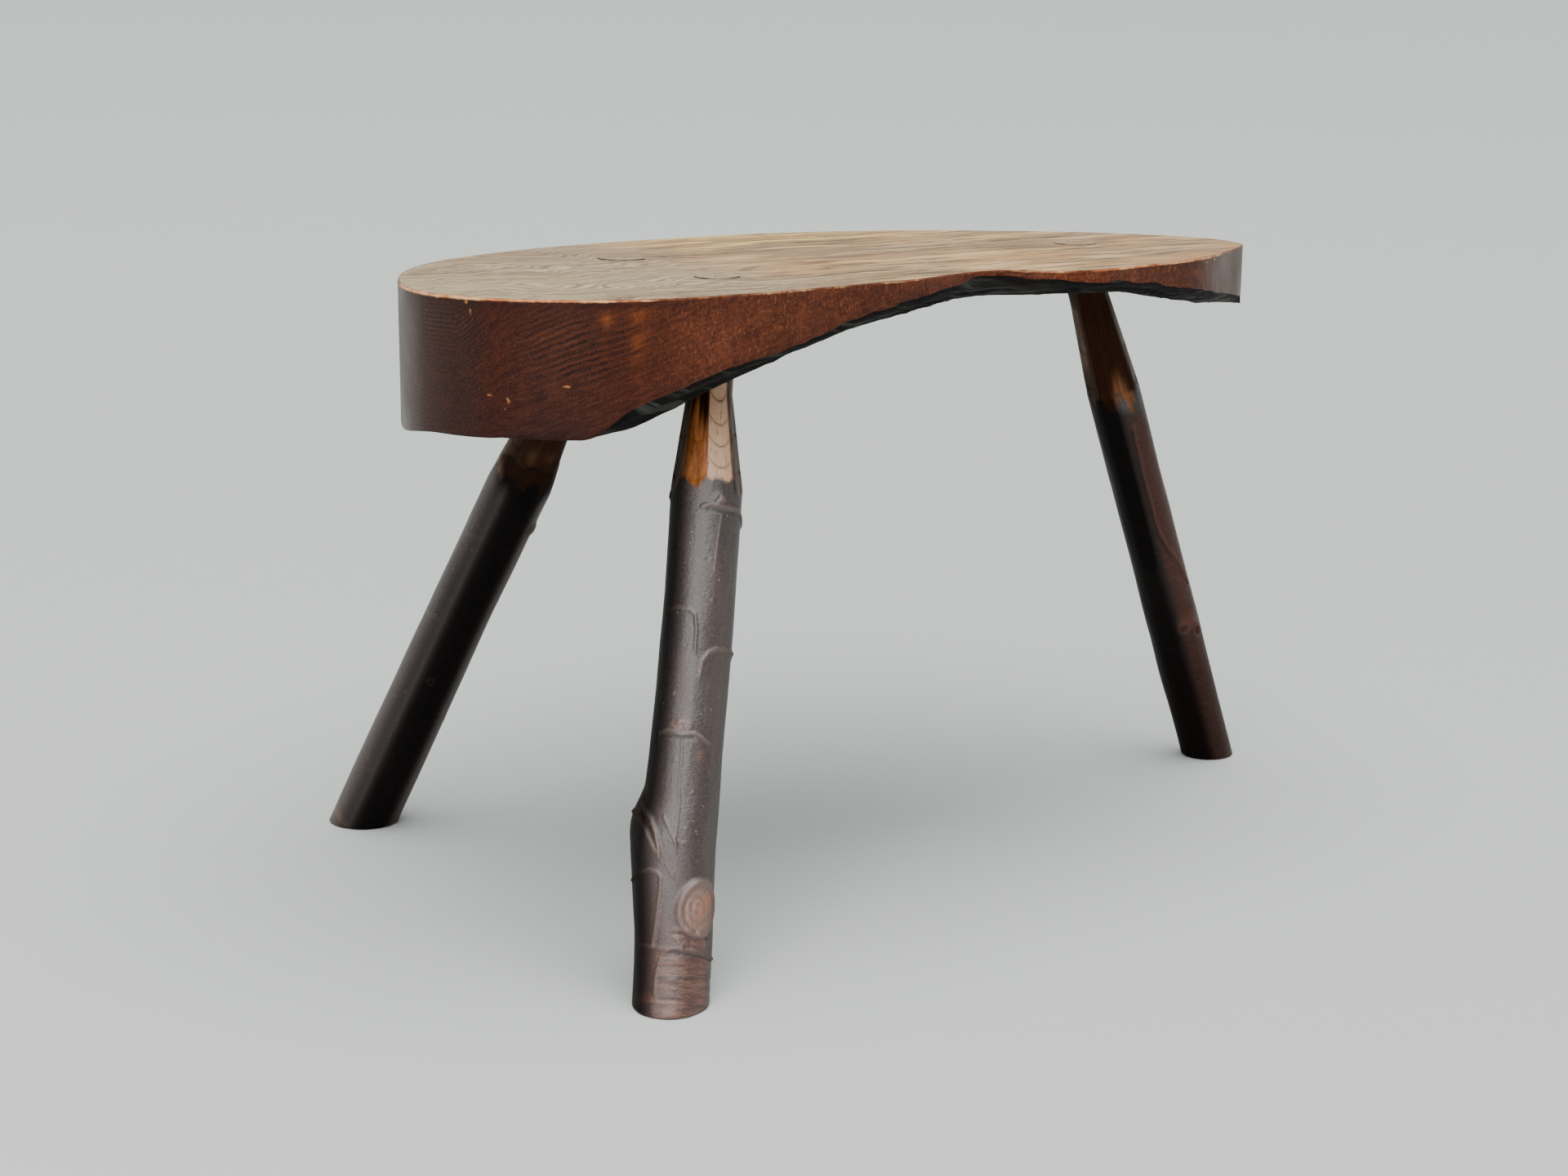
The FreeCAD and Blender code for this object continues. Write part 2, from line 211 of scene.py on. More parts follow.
def patched(places, outer, holes, loose, upward):
    """Triangles that fill a ring of numbered places, miss its holes and use the loose places."""
    used = np.concatenate([outer, *holes, loose]).astype(int)
    flat = places[used, :2]
    edges, start = [], 0
    for ring in (outer, *holes):
        numbers = start + np.arange(len(ring))
        edges += np.stack([numbers, np.roll(numbers, -1)], -1).tolist()
        start += len(ring)
    _, _, cells, sources, _, _ = delaunay_2d_cdt(
        [Vector(spot) for spot in flat.tolist()], edges, [], 0, 1e-6, True)
    origin = np.array([source[0] if source else -1 for source in sources])
    cells = origin[np.array(cells)]
    a, b, c = (flat[cells[:, k]] for k in range(3))
    middle = (a + b + c) / 3
    kept = encloses(places[outer, :2], middle)
    for hole in holes:
        kept &= ~encloses(places[hole, :2], middle)
    area = (b[:, 0] - a[:, 0]) * (c[:, 1] - a[:, 1]) - (b[:, 1] - a[:, 1]) * (c[:, 0] - a[:, 0])
    cells = np.where(((area > 0) == upward)[:, None], cells, cells[:, ::-1])
    return used[cells[kept]]


# Where each pole's head meets the top, in shares of the slab's half sizes, and how far it splays.
POLE_ENDS = {
    "front_leg": ((-0.400, -0.440), (-129.6, -146.1)),
    "back_left_leg": ((-0.387, 0.336), (-137.8, 168.9)),
    "right_leg": ((0.652, -0.084), (182.6, 12.1)),
}
BORE, BORE_COLUMNS = 15.6, 96


def pole_line(name):
    """Middle of a pole's head on the slab's top, middle of its foot, unit axis and length."""
    share, splay = POLE_ENDS[name]
    head = np.append(SLAB_MIDDLE + np.array(share) * SLAB_HALF, TOP_HEIGHT)
    foot = np.append(head[:2] + np.array(splay), 0)
    length = np.linalg.norm(head - foot)
    return head, foot, (head - foot) / length, length


def bored_ring(name, extra, drop=None):
    """Slanting mortise where it meets a level drop below the top, or the natural underside where no
    drop is given: a circle square to the axis, each point slid along the axis to that surface."""
    head, _, axis, _ = pole_line(name)
    turn = np.arange(BORE_COLUMNS) * 2 * np.pi / BORE_COLUMNS
    side = np.cross([0.0, 1.0, 0.0], axis)
    side /= np.linalg.norm(side)
    ring = head + (BORE + extra) * (
        np.cos(turn)[:, None] * side + np.sin(turn)[:, None] * np.cross(axis, side))
    for _ in range(8):
        sunk = underside_depth(ring[:, 0], ring[:, 1]) if drop is None else drop
        ring = ring + axis * ((TOP_HEIGHT - sunk - ring[:, 2]) / axis[2])[:, None]
    return ring


def uneven(bumps, seed):
    """Ripple with a number of bumps round the outline that meets itself."""
    return ripple(around * 0, around * bumps, seed, (2, bumps))


# Rows of places: from the top's flat, over the rubbed arris, down the sawn side, in over the wane.
# The arris has an inset, a drop and a share of wear for each of its rows.
# The bite is where the natural edge was left uneven; the rest of the outline is crisp.
ARRIS = ((3.6, 0.0, 0.0), (1.6, 0.0, 0.55), (0.9, 0.1, 0.95), (0.45, 0.36, 1.0), (0.15, 0.8, 1.0),
         (0.0, ARRIS_DEPTH, 0.8))
BITE, DIP_TRAVEL, DIP_WIDTH = (110, 190, 690, 760), 1698, 18
crisp = 1 - within(travel, *BITE)
rim_wobble = 0.9 * uneven(90, 5) + 0.5 * uneven(260, 6)
rim_wobble = rim_wobble * (1 - 0.92 * crisp) + 0.8 * bell(travel - DIP_TRAVEL, DIP_WIDTH)
sawn_depth = np.maximum(underside_depth(*rim.T) + rim_wobble, LEAST_DEPTH)
nicks = np.clip(uneven(210, 7), 0, 1) ** 2
rows, wear = [], []
for inset, drop, rubbed in ARRIS:
    bite = 0.5 * nicks * (0.05 < drop < 1.5)
    height = TOP_HEIGHT - drop - 0.8 * bite
    rows.append(np.column_stack([rim + inward * (inset + bite)[:, None], height]))
    wear.append(np.full(SLAB_COLUMNS, rubbed))
for share in np.arange(1, SAW_ROWS + 1) / SAW_ROWS:
    drop = ARRIS_DEPTH + (sawn_depth - ARRIS_DEPTH) * share
    hollow = 0.15 + 0.25 * ripple(around * 0 + share * 3, around * 40, 8, (8, 40)) * (share < 1)
    rows.append(np.column_stack([rim + inward * hollow[:, None], TOP_HEIGHT - drop]))
    low_edge = 0.75 * bell(sawn_depth - drop, 0.9) * within(travel, 200, 250, 470, 500)
    wear.append(np.maximum(0.6 * bell(drop - ARRIS_DEPTH, 1.4), low_edge))
side_rows = len(rows)

# The wane: the underside's edge, pushed out square to itself by long flutes and finer ones.
steps_in = BAND * (np.arange(1, WANE_ROWS + 1) / WANE_ROWS) ** 1.12
wane = []
for step in steps_in:
    spot = rim + inward * step
    wane.append(np.column_stack([spot, TOP_HEIGHT - underside_depth(*spot.T)]))
wane = np.array(wane)
wane[:, :, 2] -= rim_wobble * np.exp(-steps_in / 3.0)[:, None]
out = np.cross(np.gradient(wane, axis=0), np.roll(wane, -1, 1) - np.roll(wane, 1, 1))
out /= np.linalg.norm(out, axis=2)[:, :, None]
out *= np.where(out[:, :, 2:] > 0, -1, 1)
u, s = np.meshgrid(around, steps_in)
bend = 3.0 * ripple(s * 0, u * 16, 9, (2, 16))
flutes = 1 - 2.4 * np.abs(ripple((s + bend) / 4.4, u * 9, 10, (64, 9)))
fine = 1 - 2 * np.abs(ripple((s + bend) / 1.9, u * 84, 11, (64, 84)))
swell = 1.6 * flutes + 0.6 * fine + 0.18 * ripple(s / 1.4, u * 420, 12, (64, 420))
swell *= within(s, 0.0, 2.4, BAND - 8, BAND) * (1 - 0.9 * crisp)
rows += list(wane + out * swell[:, :, None])

# Rings of the three mortises, from the top's flat down to the underside's flat.
slab_places = list(rows)
slab_faces = [(woven(0, 2, SLAB_COLUMNS), 0), (woven(SLAB_COLUMNS, side_rows - 1, SLAB_COLUMNS), 1),
              (woven(SLAB_COLUMNS * (side_rows - 1), WANE_ROWS + 1, SLAB_COLUMNS), 2)]
slab_count = SLAB_COLUMNS * len(rows)
top_holes, low_holes = [], []
for name in POLE_ENDS:
    rings = [bored_ring(name, 3.0, 0.0), bored_ring(name, 0.55, 0.0), bored_ring(name, 0.25, 0.12),
             bored_ring(name, 0.05, 0.6), bored_ring(name, 0.05, 9.0), bored_ring(name, 0.05),
             bored_ring(name, 1.5)]
    rings[-2][:, 2] += 0.8
    rest = slab_count + 2 * BORE_COLUMNS
    slab_faces.append((woven(slab_count, 3, BORE_COLUMNS)[:, ::-1], 0))
    slab_faces.append((woven(rest, len(rings) - 2, BORE_COLUMNS)[:, ::-1], 2))
    top_holes.append(slab_count + np.arange(BORE_COLUMNS))
    slab_places += rings
    slab_count += BORE_COLUMNS * len(rings)
    low_holes.append(slab_count - BORE_COLUMNS + np.arange(BORE_COLUMNS))

# Loose places all over the underside, off its rings, and the faces that fill top and underside.
across, along = np.meshgrid(np.arange(-72, 72) * 5.0, np.arange(-36, 36) * 5.0)
jitter = np.random.default_rng(13).uniform(-1.6, 1.6, (across.size, 2))
spots = np.column_stack([across.ravel(), along.ravel()]) + SLAB_MIDDLE + jitter
last = rows[-1][:, :2]
gap = np.linalg.norm(spots[:, None] - last[None, ::4], axis=2).min(1)
clear = encloses(last, spots) & (gap > 4)
for hole in low_holes:
    ring = np.concatenate(slab_places)[hole][:, :2]
    middle = ring.mean(0)
    widest = np.linalg.norm(ring - middle, axis=1).max()
    clear &= np.linalg.norm(spots - middle, axis=1) > widest + 3
spots = spots[clear]
slab_places.append(np.column_stack([spots, TOP_HEIGHT - underside_depth(*spots.T)]))
slab_places = np.concatenate(slab_places)
top_ring = np.arange(SLAB_COLUMNS)
low_ring = SLAB_COLUMNS * (len(rows) - 1) + top_ring
slab_faces.append((patched(slab_places, top_ring, top_holes, [], True), 0))
loose = slab_count + np.arange(len(spots))
slab_faces.append((patched(slab_places, low_ring, low_holes, loose, False), 2))

# Marks at distances round the outline. The growth rings' lie is a height plus a climb gathered on
# the way, so its level lines are the rings. Then how warm the sawn side is, how greyed it is (at
# its left end this grey is a painted sheen), how clearly its rings show, and how much its arris is
# rubbed.
LIE_TRAVEL = [0, 30, 48, 70, 200, 330, 450, 560, 640, 680, 800, 850, 950, 1300, 1600, 1680, 1720,
              1747]
LIE_CLIMB = [0, 0, -0.9, -0.36, -0.36, -0.2, -0.3, -0.1, 0.2, 1.0, 1.0, 0.5, 0, 0, 0, 0.65, 0.65,
             0.2]
LIE_HEIGHT = [1.5, 1.5, 1.2, 1, 1, 1, 1, 1, 0.6, 0.15, 0.15, 0.5, 1, 1, 1, 1.25, 1.25, 1.5]
TONE_TRAVEL = [0, 40, 60, 130, 200, 330, 400, 450, 520, 650, 690, 760, 820, 1250, 1660, 1700, 1725,
               1747]
TONE_WARMTH = [0.06, 0.12, 0.30, 0.36, 0.62, 0.64, 0.60, 0.80, 0.85, 0.5, 0.45, 0.4, 0.4, 0.4, 0.1,
               0.05, 0.05, 0.06]
TONE_GREYED_AND_SHEEN = [0.25, 0.1, 0, 0, 0, 0, 0, 0, 0, 0.05, 0.4, 0.8, 0.6, 0.1, 0.7, 0.95, 0.7, 0.25]
RINGED_TRAVEL = [0, 50, 80, 150, 200, 640, 690, 800, 900, 1250, 1640, 1690, 1747]
RINGED = [0.2, 0.05, 0.25, 0.28, 0.14, 0.03, 0.8, 1.0, 0.5, 0.3, 0.6, 0.9, 0.2]
RUBBED_TRAVEL = [0, 70, 160, 300, 480, 560, 700, 1000, 1700]
RUBBED = [1.0, 1.0, 0.8, 0.62, 0.72, 0.9, 0.8, 0.6, 0.9]
sawn = slice(0, SLAB_COLUMNS * side_rows)
trod, tall = np.tile(travel, side_rows), slab_places[sawn, 2]
climb = np.interp(travel, LIE_TRAVEL, LIE_CLIMB)
unseen = within(travel, 930, 1050, 1480, 1600)
climb -= unseen * climb.sum() / unseen.sum()
lie = np.tile(np.cumsum(climb) * girth / SLAB_COLUMNS, side_rows)
lie += np.interp(trod, LIE_TRAVEL, LIE_HEIGHT) * (tall - 400)


def blots(spots):
    """Soft round marks on the sawn side: each is its strength times a bell of travel and a bell of
    height about its middle, with a width for each."""
    total = np.zeros(len(trod))
    for middle, height, wide, high, strength in spots:
        aside = (trod - middle + girth / 2) % girth - girth / 2
        total += strength * np.exp(-(aside / wide) ** 2 - ((tall - height) / high) ** 2)
    return total


def on_side(values):
    """Marks of the whole slab from those of its sawn side."""
    whole = np.zeros(len(slab_places))
    whole[sawn] = values
    return whole


ringed = np.interp(trod, RINGED_TRAVEL, RINGED) * (1 - 0.5 * eased(-tall, -420, -400) * (trod < 80))
ringed += blots([(14, 432, 28, 13, 0.75), (46, 410, 5, 26, 0.4), (112, 418, 32, 19, 0.85)])
glow = blots([
    (131, 437, 4, 5, 0.9), (150, 424, 5, 15, 0.9), (156, 440, 9, 6, 0.6), (330, 420, 7, 5, 0.7),
    (250, 432, 30, 8, 0.3), (420, 436, 30, 6, 0.5), (98, 425, 10, 5, 0.4), (520, 436, 40, 6, 0.4),
    (665, 423, 9, 3, 0.9), (640, 440, 40, 4, 0.5), (372, 424, 22, 4, 0.4)])
murk = blots([
    (80, 366, 50, 24, 0.5), (286, 436, 7, 12, 0.6), (335, 442, 10, 8, 0.5), (170, 446, 60, 4, 0.5),
    (60, 446, 60, 3, 0.5), (120, 362, 70, 6, 0.6), (205, 388, 26, 8, 0.7), (215, 440, 7, 10, 0.35)])
above_wane = np.tile(sawn_depth, side_rows) - (TOP_HEIGHT - tall)
murk += 0.42 * bell(above_wane, 7) * within(trod, 110, 170, 470, 520)
chip = blots([
    (55, 388.5, 2.4, 1.5, 0.95), (60, 387.5, 2.8, 1.1, 0.9), (66, 387.5, 2.4, 1.0, 0.95),
    (68, 384, 1.2, 3.0, 0.9), (65, 380, 1.2, 2.0, 0.85), (103, 395.5, 3.2, 1.2, 0.9),
    (107, 395, 1.6, 1.6, 0.6), (118, 384, 1.1, 0.9, 0.85), (39, 447, 2.6, 2.0, 0.9),
    (42, 441, 1.1, 2.6, 0.75), (48, 446.5, 2.0, 1.2, 0.6), (210, 446, 2.0, 1.6, 0.6),
    (672, 446, 5, 1.6, 0.8), (690, 447, 3, 1.2, 0.8)])
# How much painted highlight each place gets: raised on the crests of the wane's flutes.
crest_highlight = np.full(len(slab_places), 0.45)
crest_highlight[sawn.stop:SLAB_COLUMNS * len(rows)] = np.clip(0.45 + 0.3 * swell, 0, 1).ravel()

# The unrolled place wraps the outline round a drum, so that grain can be drawn out along the edge.
drum = girth / (2 * math.pi)
depth_down = np.concatenate([TOP_HEIGHT - tall, (sawn_depth + steps_in[:, None]).ravel()])
angle = np.tile(2 * np.pi * around, len(rows))
unrolled = np.zeros((len(slab_places), 3))
unrolled[:len(angle)] = MM * np.column_stack(
    [drum * np.cos(angle), drum * np.sin(angle), depth_down])
drawn_out = np.zeros(len(slab_places))
drawn_out[:len(angle)] = np.repeat(
    np.concatenate([np.ones(side_rows), 1 - eased(steps_in, BAND - 9, BAND - 1)]), SLAB_COLUMNS)
slab = shape_piece("slab", slab_places, slab_faces, {
    "unrolled": unrolled, "drawn_out": drawn_out, "crest_highlight": crest_highlight, "lie": on_side(lie),
    "wear": on_side(np.concatenate(wear) * np.interp(trod, RUBBED_TRAVEL, RUBBED)),
    "ringed": on_side(np.clip(ringed, 0, 1)), "glow": on_side(glow), "murk": on_side(murk),
    "chip": on_side(chip), "warmth": on_side(np.interp(trod, TONE_TRAVEL, TONE_WARMTH)),
    "greyed_and_sheen": on_side(np.interp(trod, TONE_TRAVEL, TONE_GREYED_AND_SHEEN))})


def paint(red, green, blue):
    """Colour of a paint chip, given as 0 to 255 per channel, as Blender's linear values."""
    chip = np.array([red, green, blue]) / 255
    return (*np.where(chip <= 0.04045, chip / 12.92, ((chip + 0.055) / 1.055) ** 2.4), 1.0)


class Mask:
    """A node's output: a value, colour or place that changes over the surface. A sum, difference
    or product of masks and numbers is one Math node, or one Vector Math node for a place."""

    def __init__(self, socket):
        self.socket, self.tree = socket, socket.id_data

    def worked(self, way, other=None, out=0):
        """This mask and another mask or number, put through one Math or Vector Math node."""
        kind = "Math" if self.socket.type == "VALUE" else "VectorMath"
        return grown(self.tree, kind, {0: self, 1: other}, out, operation=way)

    def spread(self, low, high, start=0.0, end=1.0):
        """This value between low and high, spread smoothly over start to end."""
        return grown(self.tree, "MapRange", {0: self, 1: low, 2: high, 3: start, 4: end},
                     interpolation_type="SMOOTHSTEP")

    __add__ = __radd__ = lambda self, other: self.worked("ADD", other)
    __sub__ = lambda self, other: self.worked("SUBTRACT", other)
    __rsub__ = lambda self, other: grown(self.tree, "Math", {0: other, 1: self},
                                         operation="SUBTRACT")
    __mul__ = __rmul__ = lambda self, other: self.worked("MULTIPLY", other)


def join(mask, socket):
    """Links a mask to an input."""
    mask.tree.links.new(mask.socket, socket)


def filled(node, inputs):
    """The node, with each input joined to its mask or set to its number."""
    for name, value in inputs.items():
        if isinstance(value, Mask):
            join(value, node.inputs[name])
        elif value is not None:
            node.inputs[name].default_value = value
    return node


def grown(tree, kind, inputs, out=0, **settings):
    """Output of one new node of a tree, with its own settings and filled inputs."""
    node = tree.nodes.new("ShaderNode" + kind)
    for name, value in settings.items():
        setattr(node, name, value)
    return Mask(filled(node, inputs).outputs[out])


def marked(tree, mark, out="Fac"):
    """Named value or vector that the mesh carries at its places."""
    return grown(tree, "Attribute", {}, out, attribute_name=mark)


def in_object(tree):
    """Place on the object, in metres."""
    return grown(tree, "TexCoord", {}, "Object")


def noise(place, scale, detail, roughness, distortion=0.0, out="Fac"):
    """Cloudy noise at a place."""
    return grown(place.tree, "TexNoise", {"Vector": place, "Scale": scale, "Detail": detail,
                                          "Roughness": roughness, "Distortion": distortion}, out)


def tinted(share, under, over):
    """Colour that goes from the under colour to the over colour as the share goes from 0 to 1."""
    under, over = (paint(*tone) if isinstance(tone, tuple) else tone for tone in (under, over))
    return grown(share.tree, "Mix", {0: share, 6: under, 7: over}, 2, data_type="RGBA")


def coated(colour, coats):
    """Colour under coats of (share, colour): each goes over what is there by its share."""
    for share, coat in coats:
        colour = tinted(share, colour, coat)
    return colour


def new_group(name, inputs, outputs):
    """Empty shader node group with named inputs, each with its kind and first value, and outputs.
    Gives the group, its inputs as masks and its outputs' sockets."""
    group = bpy.data.node_groups.new(name, "ShaderNodeTree")
    for socket, kind, value in inputs:
        made = group.interface.new_socket(socket, in_out="INPUT", socket_type="NodeSocket" + kind)
        if value is not None:
            made.default_value = value
    for socket, kind in outputs:
        group.interface.new_socket(socket, in_out="OUTPUT", socket_type="NodeSocket" + kind)
    given = {socket.name: Mask(socket) for socket in group.nodes.new("NodeGroupInput").outputs}
    return group, given, group.nodes.new("NodeGroupOutput").inputs


def use(group, place, **values):
    """Outputs of a group that is put in the place's own tree with its own values."""
    node = place.tree.nodes.new("ShaderNodeGroup")
    node.node_tree = group
    return [Mask(output) for output in filled(node, {"Place": place, **values}).outputs]


def new_finish(name):
    """Empty material, its node tree and its principled shader."""
    material = bpy.data.materials.new(name)
    material.use_nodes = True
    return material, material.node_tree, material.node_tree.nodes["Principled BSDF"]


def surfaced(shader, colour, rough, relief, strength, distance):
    """Joins a finish's colour, its roughness and, through a bump, its relief to its shader."""
    bump = grown(relief.tree, "Bump",
                 {"Strength": strength, "Distance": distance, "Height": relief})
    for mask, socket in ((colour, "Base Color"), (rough, "Roughness"), (bump, "Normal")):
        join(mask, shader.inputs[socket])


# Fibre: fine long grain and dark pores, from two noises drawn out by the stretch that is given.
wood_fibre, given, put = new_group("wood_fibre", [
    ("Place", "Vector", None), ("Stretch", "Vector", (1, 1, 1)), ("Fineness", "Float", 60.0)],
    [("Fibre", "Float"), ("Pores", "Float")])
drawn = given["Place"] * given["Stretch"]
join(noise(drawn, given["Fineness"], 5.0, 0.62, 0.25).spread(0.3, 0.7), put["Fibre"])
join(noise(drawn, given["Fineness"] * 2.6, 2.0, 0.5).spread(0.60, 0.74), put["Pores"])

# Clouds: soft patches of stain, age and handling, cut between a low and a high level.
stain_clouds, given, put = new_group("stain_clouds", [
    ("Place", "Vector", None), ("Stretch", "Vector", (1, 1, 1)), ("Size", "Float", 8.0),
    ("Low", "Float", 0.4), ("High", "Float", 0.6)], [("Patch", "Float")])
mist = noise(given["Place"] * given["Stretch"], given["Size"], 4.0, 0.6, 0.4)
join(mist.spread(given["Low"], given["High"]), put["Patch"])


def fibre(place, stretch, fineness):
    """Fine grain and pores of the fibre group at a place."""
    return use(wood_fibre, place, Stretch=stretch, Fineness=fineness)


def clouds(place, size, low, high, stretch=(1.0, 1.0, 1.0)):
    """Patches of the clouds group at a place."""
    return use(stain_clouds, place, Stretch=stretch, Size=size, Low=low, High=high)[0]


# Weathered top: greyed and swirling round the left tenons, golden and streaked towards the right,
# sunniest at the middle of the back, with one dark smear. The tenons' ends were planed and oiled
# with the top, so they wear it too.
weathered, given, put = new_group("weathered_top", [("Place", "Vector", None)],
                                  [("Colour", "Color"), ("Relief", "Float"), ("Streaks", "Float")])
spot = given["Place"]
x, y = (grown(weathered, "SeparateXYZ", {0: spot}, axis) for axis in "XY")
left = x.spread(-0.21, -0.08, 1.0, 0.0)
sway = noise(spot, 10.0, 3.0, 0.5, out="Color") - (0.5, 0.5, 0.5)
swayed = spot + sway * (left * 0.085 + 0.026)
rings = grown(weathered, "TexWave", {
    "Vector": swayed * (0.45, 1.0, 1.0), "Scale": 44.0, "Distortion": 4.0, "Detail": 2.5,
    "Detail Scale": 1.4, "Detail Roughness": 0.6}, "Fac", bands_direction="Y")
streaks = noise(swayed * (10.0, 112.0, 60.0), 1.0, 5.0, 0.7)
gleam = noise(swayed * (8.0, 82.0, 30.0), 1.0, 5.0, 0.66)
golden = clouds(swayed, 11.0, 0.42, 0.62, (0.45, 1.0, 1.0))
patina = clouds(swayed, 9.0, 0.38, 0.62, (0.4, 1.0, 1.0))
silk, pores = fibre(swayed, (0.13, 1.0, 1.0), 240.0)
sunny = (spot - (-0.012, 0.118, 0.45)) * (6.5, 15.0, 1.0)
sunny = sunny.worked("LENGTH", out="Value").spread(0.35, 1.25, 1.0, 0.0)
smear = grown(weathered, "VectorRotate", {"Vector": spot - (-0.135, -0.046, 0.45), "Angle": -0.61},
              rotation_type="Z_AXIS") * (42.0, 190.0, 1.0)
smear = smear.worked("LENGTH", out="Value").spread(0.4, 1.2, 1.0, 0.0)
pale_streaks = (sunny * 0.02 + gleam).spread(0.48, 0.62) * (sunny * 0.3 + 0.7)
back_left = y.spread(0.03, 0.13) * x.spread(-0.05, -0.25)
ground = tinted(golden, (134, 95, 57), (188, 132, 66))
ground = tinted(left, ground, tinted(patina, (144, 112, 84), (164, 146, 112)))
colour = coated(ground, [
    (sunny * 0.3, (150, 98, 50)),
    (back_left * 0.8, (128, 80, 58)),
    (pale_streaks * (left * -0.55 + 1.0), tinted(sunny, (236, 196, 132), (255, 220, 112))),
    (rings.spread(0.3, 0.95) * (left * 0.38 + 0.28), (46, 34, 24)),
    (rings.spread(0.4, 0.0) * (left * 0.36), (206, 182, 146)),
    (streaks.spread(0.49, 0.62) * (left * -0.5 + 0.95), (52, 34, 24)),
    (smear * 0.8, (52, 40, 34)),
    (pores * 0.45, (60, 44, 34)),
    (silk * 0.24, (216, 186, 142)),
])
join(colour, put["Colour"])
join(rings * 0.4 + streaks * 1.4 - pores * 0.3, put["Relief"])
join(streaks, put["Streaks"])

top_finish, tree, shader = new_finish("oiled_figured_top")
colour, relief, streaks = use(weathered, in_object(tree))
surfaced(shader, colour, streaks.spread(0.35, 0.65, 0.32, 0.5), relief, 0.2, 0.0006)
shader.inputs["Specular IOR Level"].default_value = 0.2

# Sawn side: stained dark at the left and redder to the right, ringed at both ends, rubbed at the
# arris, with a painted grey sheen over its left end. Its grain is combed along the growth rings,
# whose lie is in millimetres.
RING_PERIOD = 4.3
side_finish, tree, shader = new_finish("sawn_side")
spot, unrolled = in_object(tree), marked(tree, "unrolled", "Vector")
warmth, greyed_and_sheen, wear, glow, murk, chip, ringed = (
    marked(tree, mark) for mark in ("warmth", "greyed_and_sheen", "wear", "glow", "murk", "chip", "ringed"))
drift = noise(spot, 20.0, 3.0, 0.5)
phase = (drift - 0.5) * 13.0 + marked(tree, "lie")
line = (phase * (2 * math.pi / RING_PERIOD)).worked("SINE")
drum_x, drum_y = (grown(tree, "SeparateXYZ", {0: unrolled}, axis) for axis in "XY")
combed = grown(tree, "CombineXYZ", {0: drum_x, 1: drum_y, 2: phase * MM})
silk, pores = fibre(combed, (0.16, 0.16, 1.0), 620.0)
soft, _ = fibre(combed, (0.12, 0.12, 1.0), 170.0)
dust, _ = fibre(spot, (1.0, 1.0, 0.8), 900.0)
clarity = clouds(spot, 16.0, 0.34, 0.56)
strokes = clouds(spot, 62.0, 0.42, 0.66, (1.0, 1.0, 0.12))
mottle = clouds(spot, 45.0, 0.36, 0.66, (1.0, 1.0, 0.6))
stain = clouds(spot, 13.0, 0.36, 0.62, (1.0, 1.0, 0.5))
orange = clouds(spot, 95.0, 0.5, 0.68, (1.0, 1.0, 0.4))
redder = warmth.spread(0.4, 0.62)
upright = clouds(spot, 230.0, 0.46, 0.6, (1.0, 1.0, 0.3)) * redder
sparks = clouds(spot, 620.0, 0.5, 0.7, (1.0, 1.0, 0.55)) * redder
ring_share = ringed * (clarity * 0.55 + 0.45)
line_share = line.spread(-0.6, 0.9) * ring_share
rub, pale = noise(spot, 150.0, 4.0, 0.65), noise(spot, 24.0, 4.0, 0.7)
chipped = (rub * 1.6 + chip).spread(1.25, 1.6)
rubbed = (pale * 0.9 + (rub * 0.5 + wear)).spread(1.3, 1.7)
colour = coated(tinted(warmth.spread(0.0, 0.32), (29, 16, 17), (38, 12, 9)), [
    (warmth.spread(0.36, 0.66), (82, 43, 34)),
    (warmth.spread(0.66, 0.9), (84, 38, 20)),
    (mottle * 0.25, (24, 8, 9)),
    (stain * 0.46, (34, 14, 17)),
    (soft * (warmth * 0.16 + 0.03), (132, 62, 34)),
    (orange * (warmth * 0.5 + glow * 0.9) * 0.5, (132, 68, 32)),
    (glow * soft.spread(0.2, 0.8, 0.06, 0.5), (134, 72, 30)),
    # Grey from the greyed mark: a painted sheen at the left end, greyed wood where it is set
    # elsewhere.
    (greyed_and_sheen * 0.6, (92, 80, 72)),
    (line.spread(-0.1, -0.9) * ring_share * 0.16, tinted(greyed_and_sheen, (112, 56, 34), (170, 158, 148))),
    (line_share * 0.75, tinted(greyed_and_sheen, (14, 6, 7), (46, 36, 32))),
    (strokes * clarity.spread(0.1, 0.9, 0.12, 0.34), (30, 12, 13)),
    (upright * 0.42, (40, 16, 14)),
    (sparks * 0.34, (160, 96, 62)),
    (dust.spread(0.5, 1.0, 0.0, 0.2), (122, 66, 42)),
    (dust.spread(0.5, 0.0, 0.0, 0.28), (22, 9, 9)),
    (murk * 0.8, (26, 13, 15)),
    (pores * 0.4, (20, 8, 8)),
    (silk * (warmth * 0.19 + 0.005), (162, 92, 54)),
    (chipped, tinted(rub.spread(0.4, 0.62), (120, 64, 32), (174, 118, 76))),
    (rubbed, tinted(pale.spread(0.4, 0.6), (184, 104, 58), (214, 160, 112))),
])
relief = line_share * -0.5 - pores * 0.5 + (soft * 0.3 + chipped * -0.9)
surfaced(shader, colour, drift.spread(0.3, 0.7, 0.38, 0.54), relief, 0.3, 0.0008)
shader.inputs["Specular IOR Level"].default_value = 0.16
join(greyed_and_sheen * 0.42 + 0.09, shader.inputs["Specular IOR Level"])
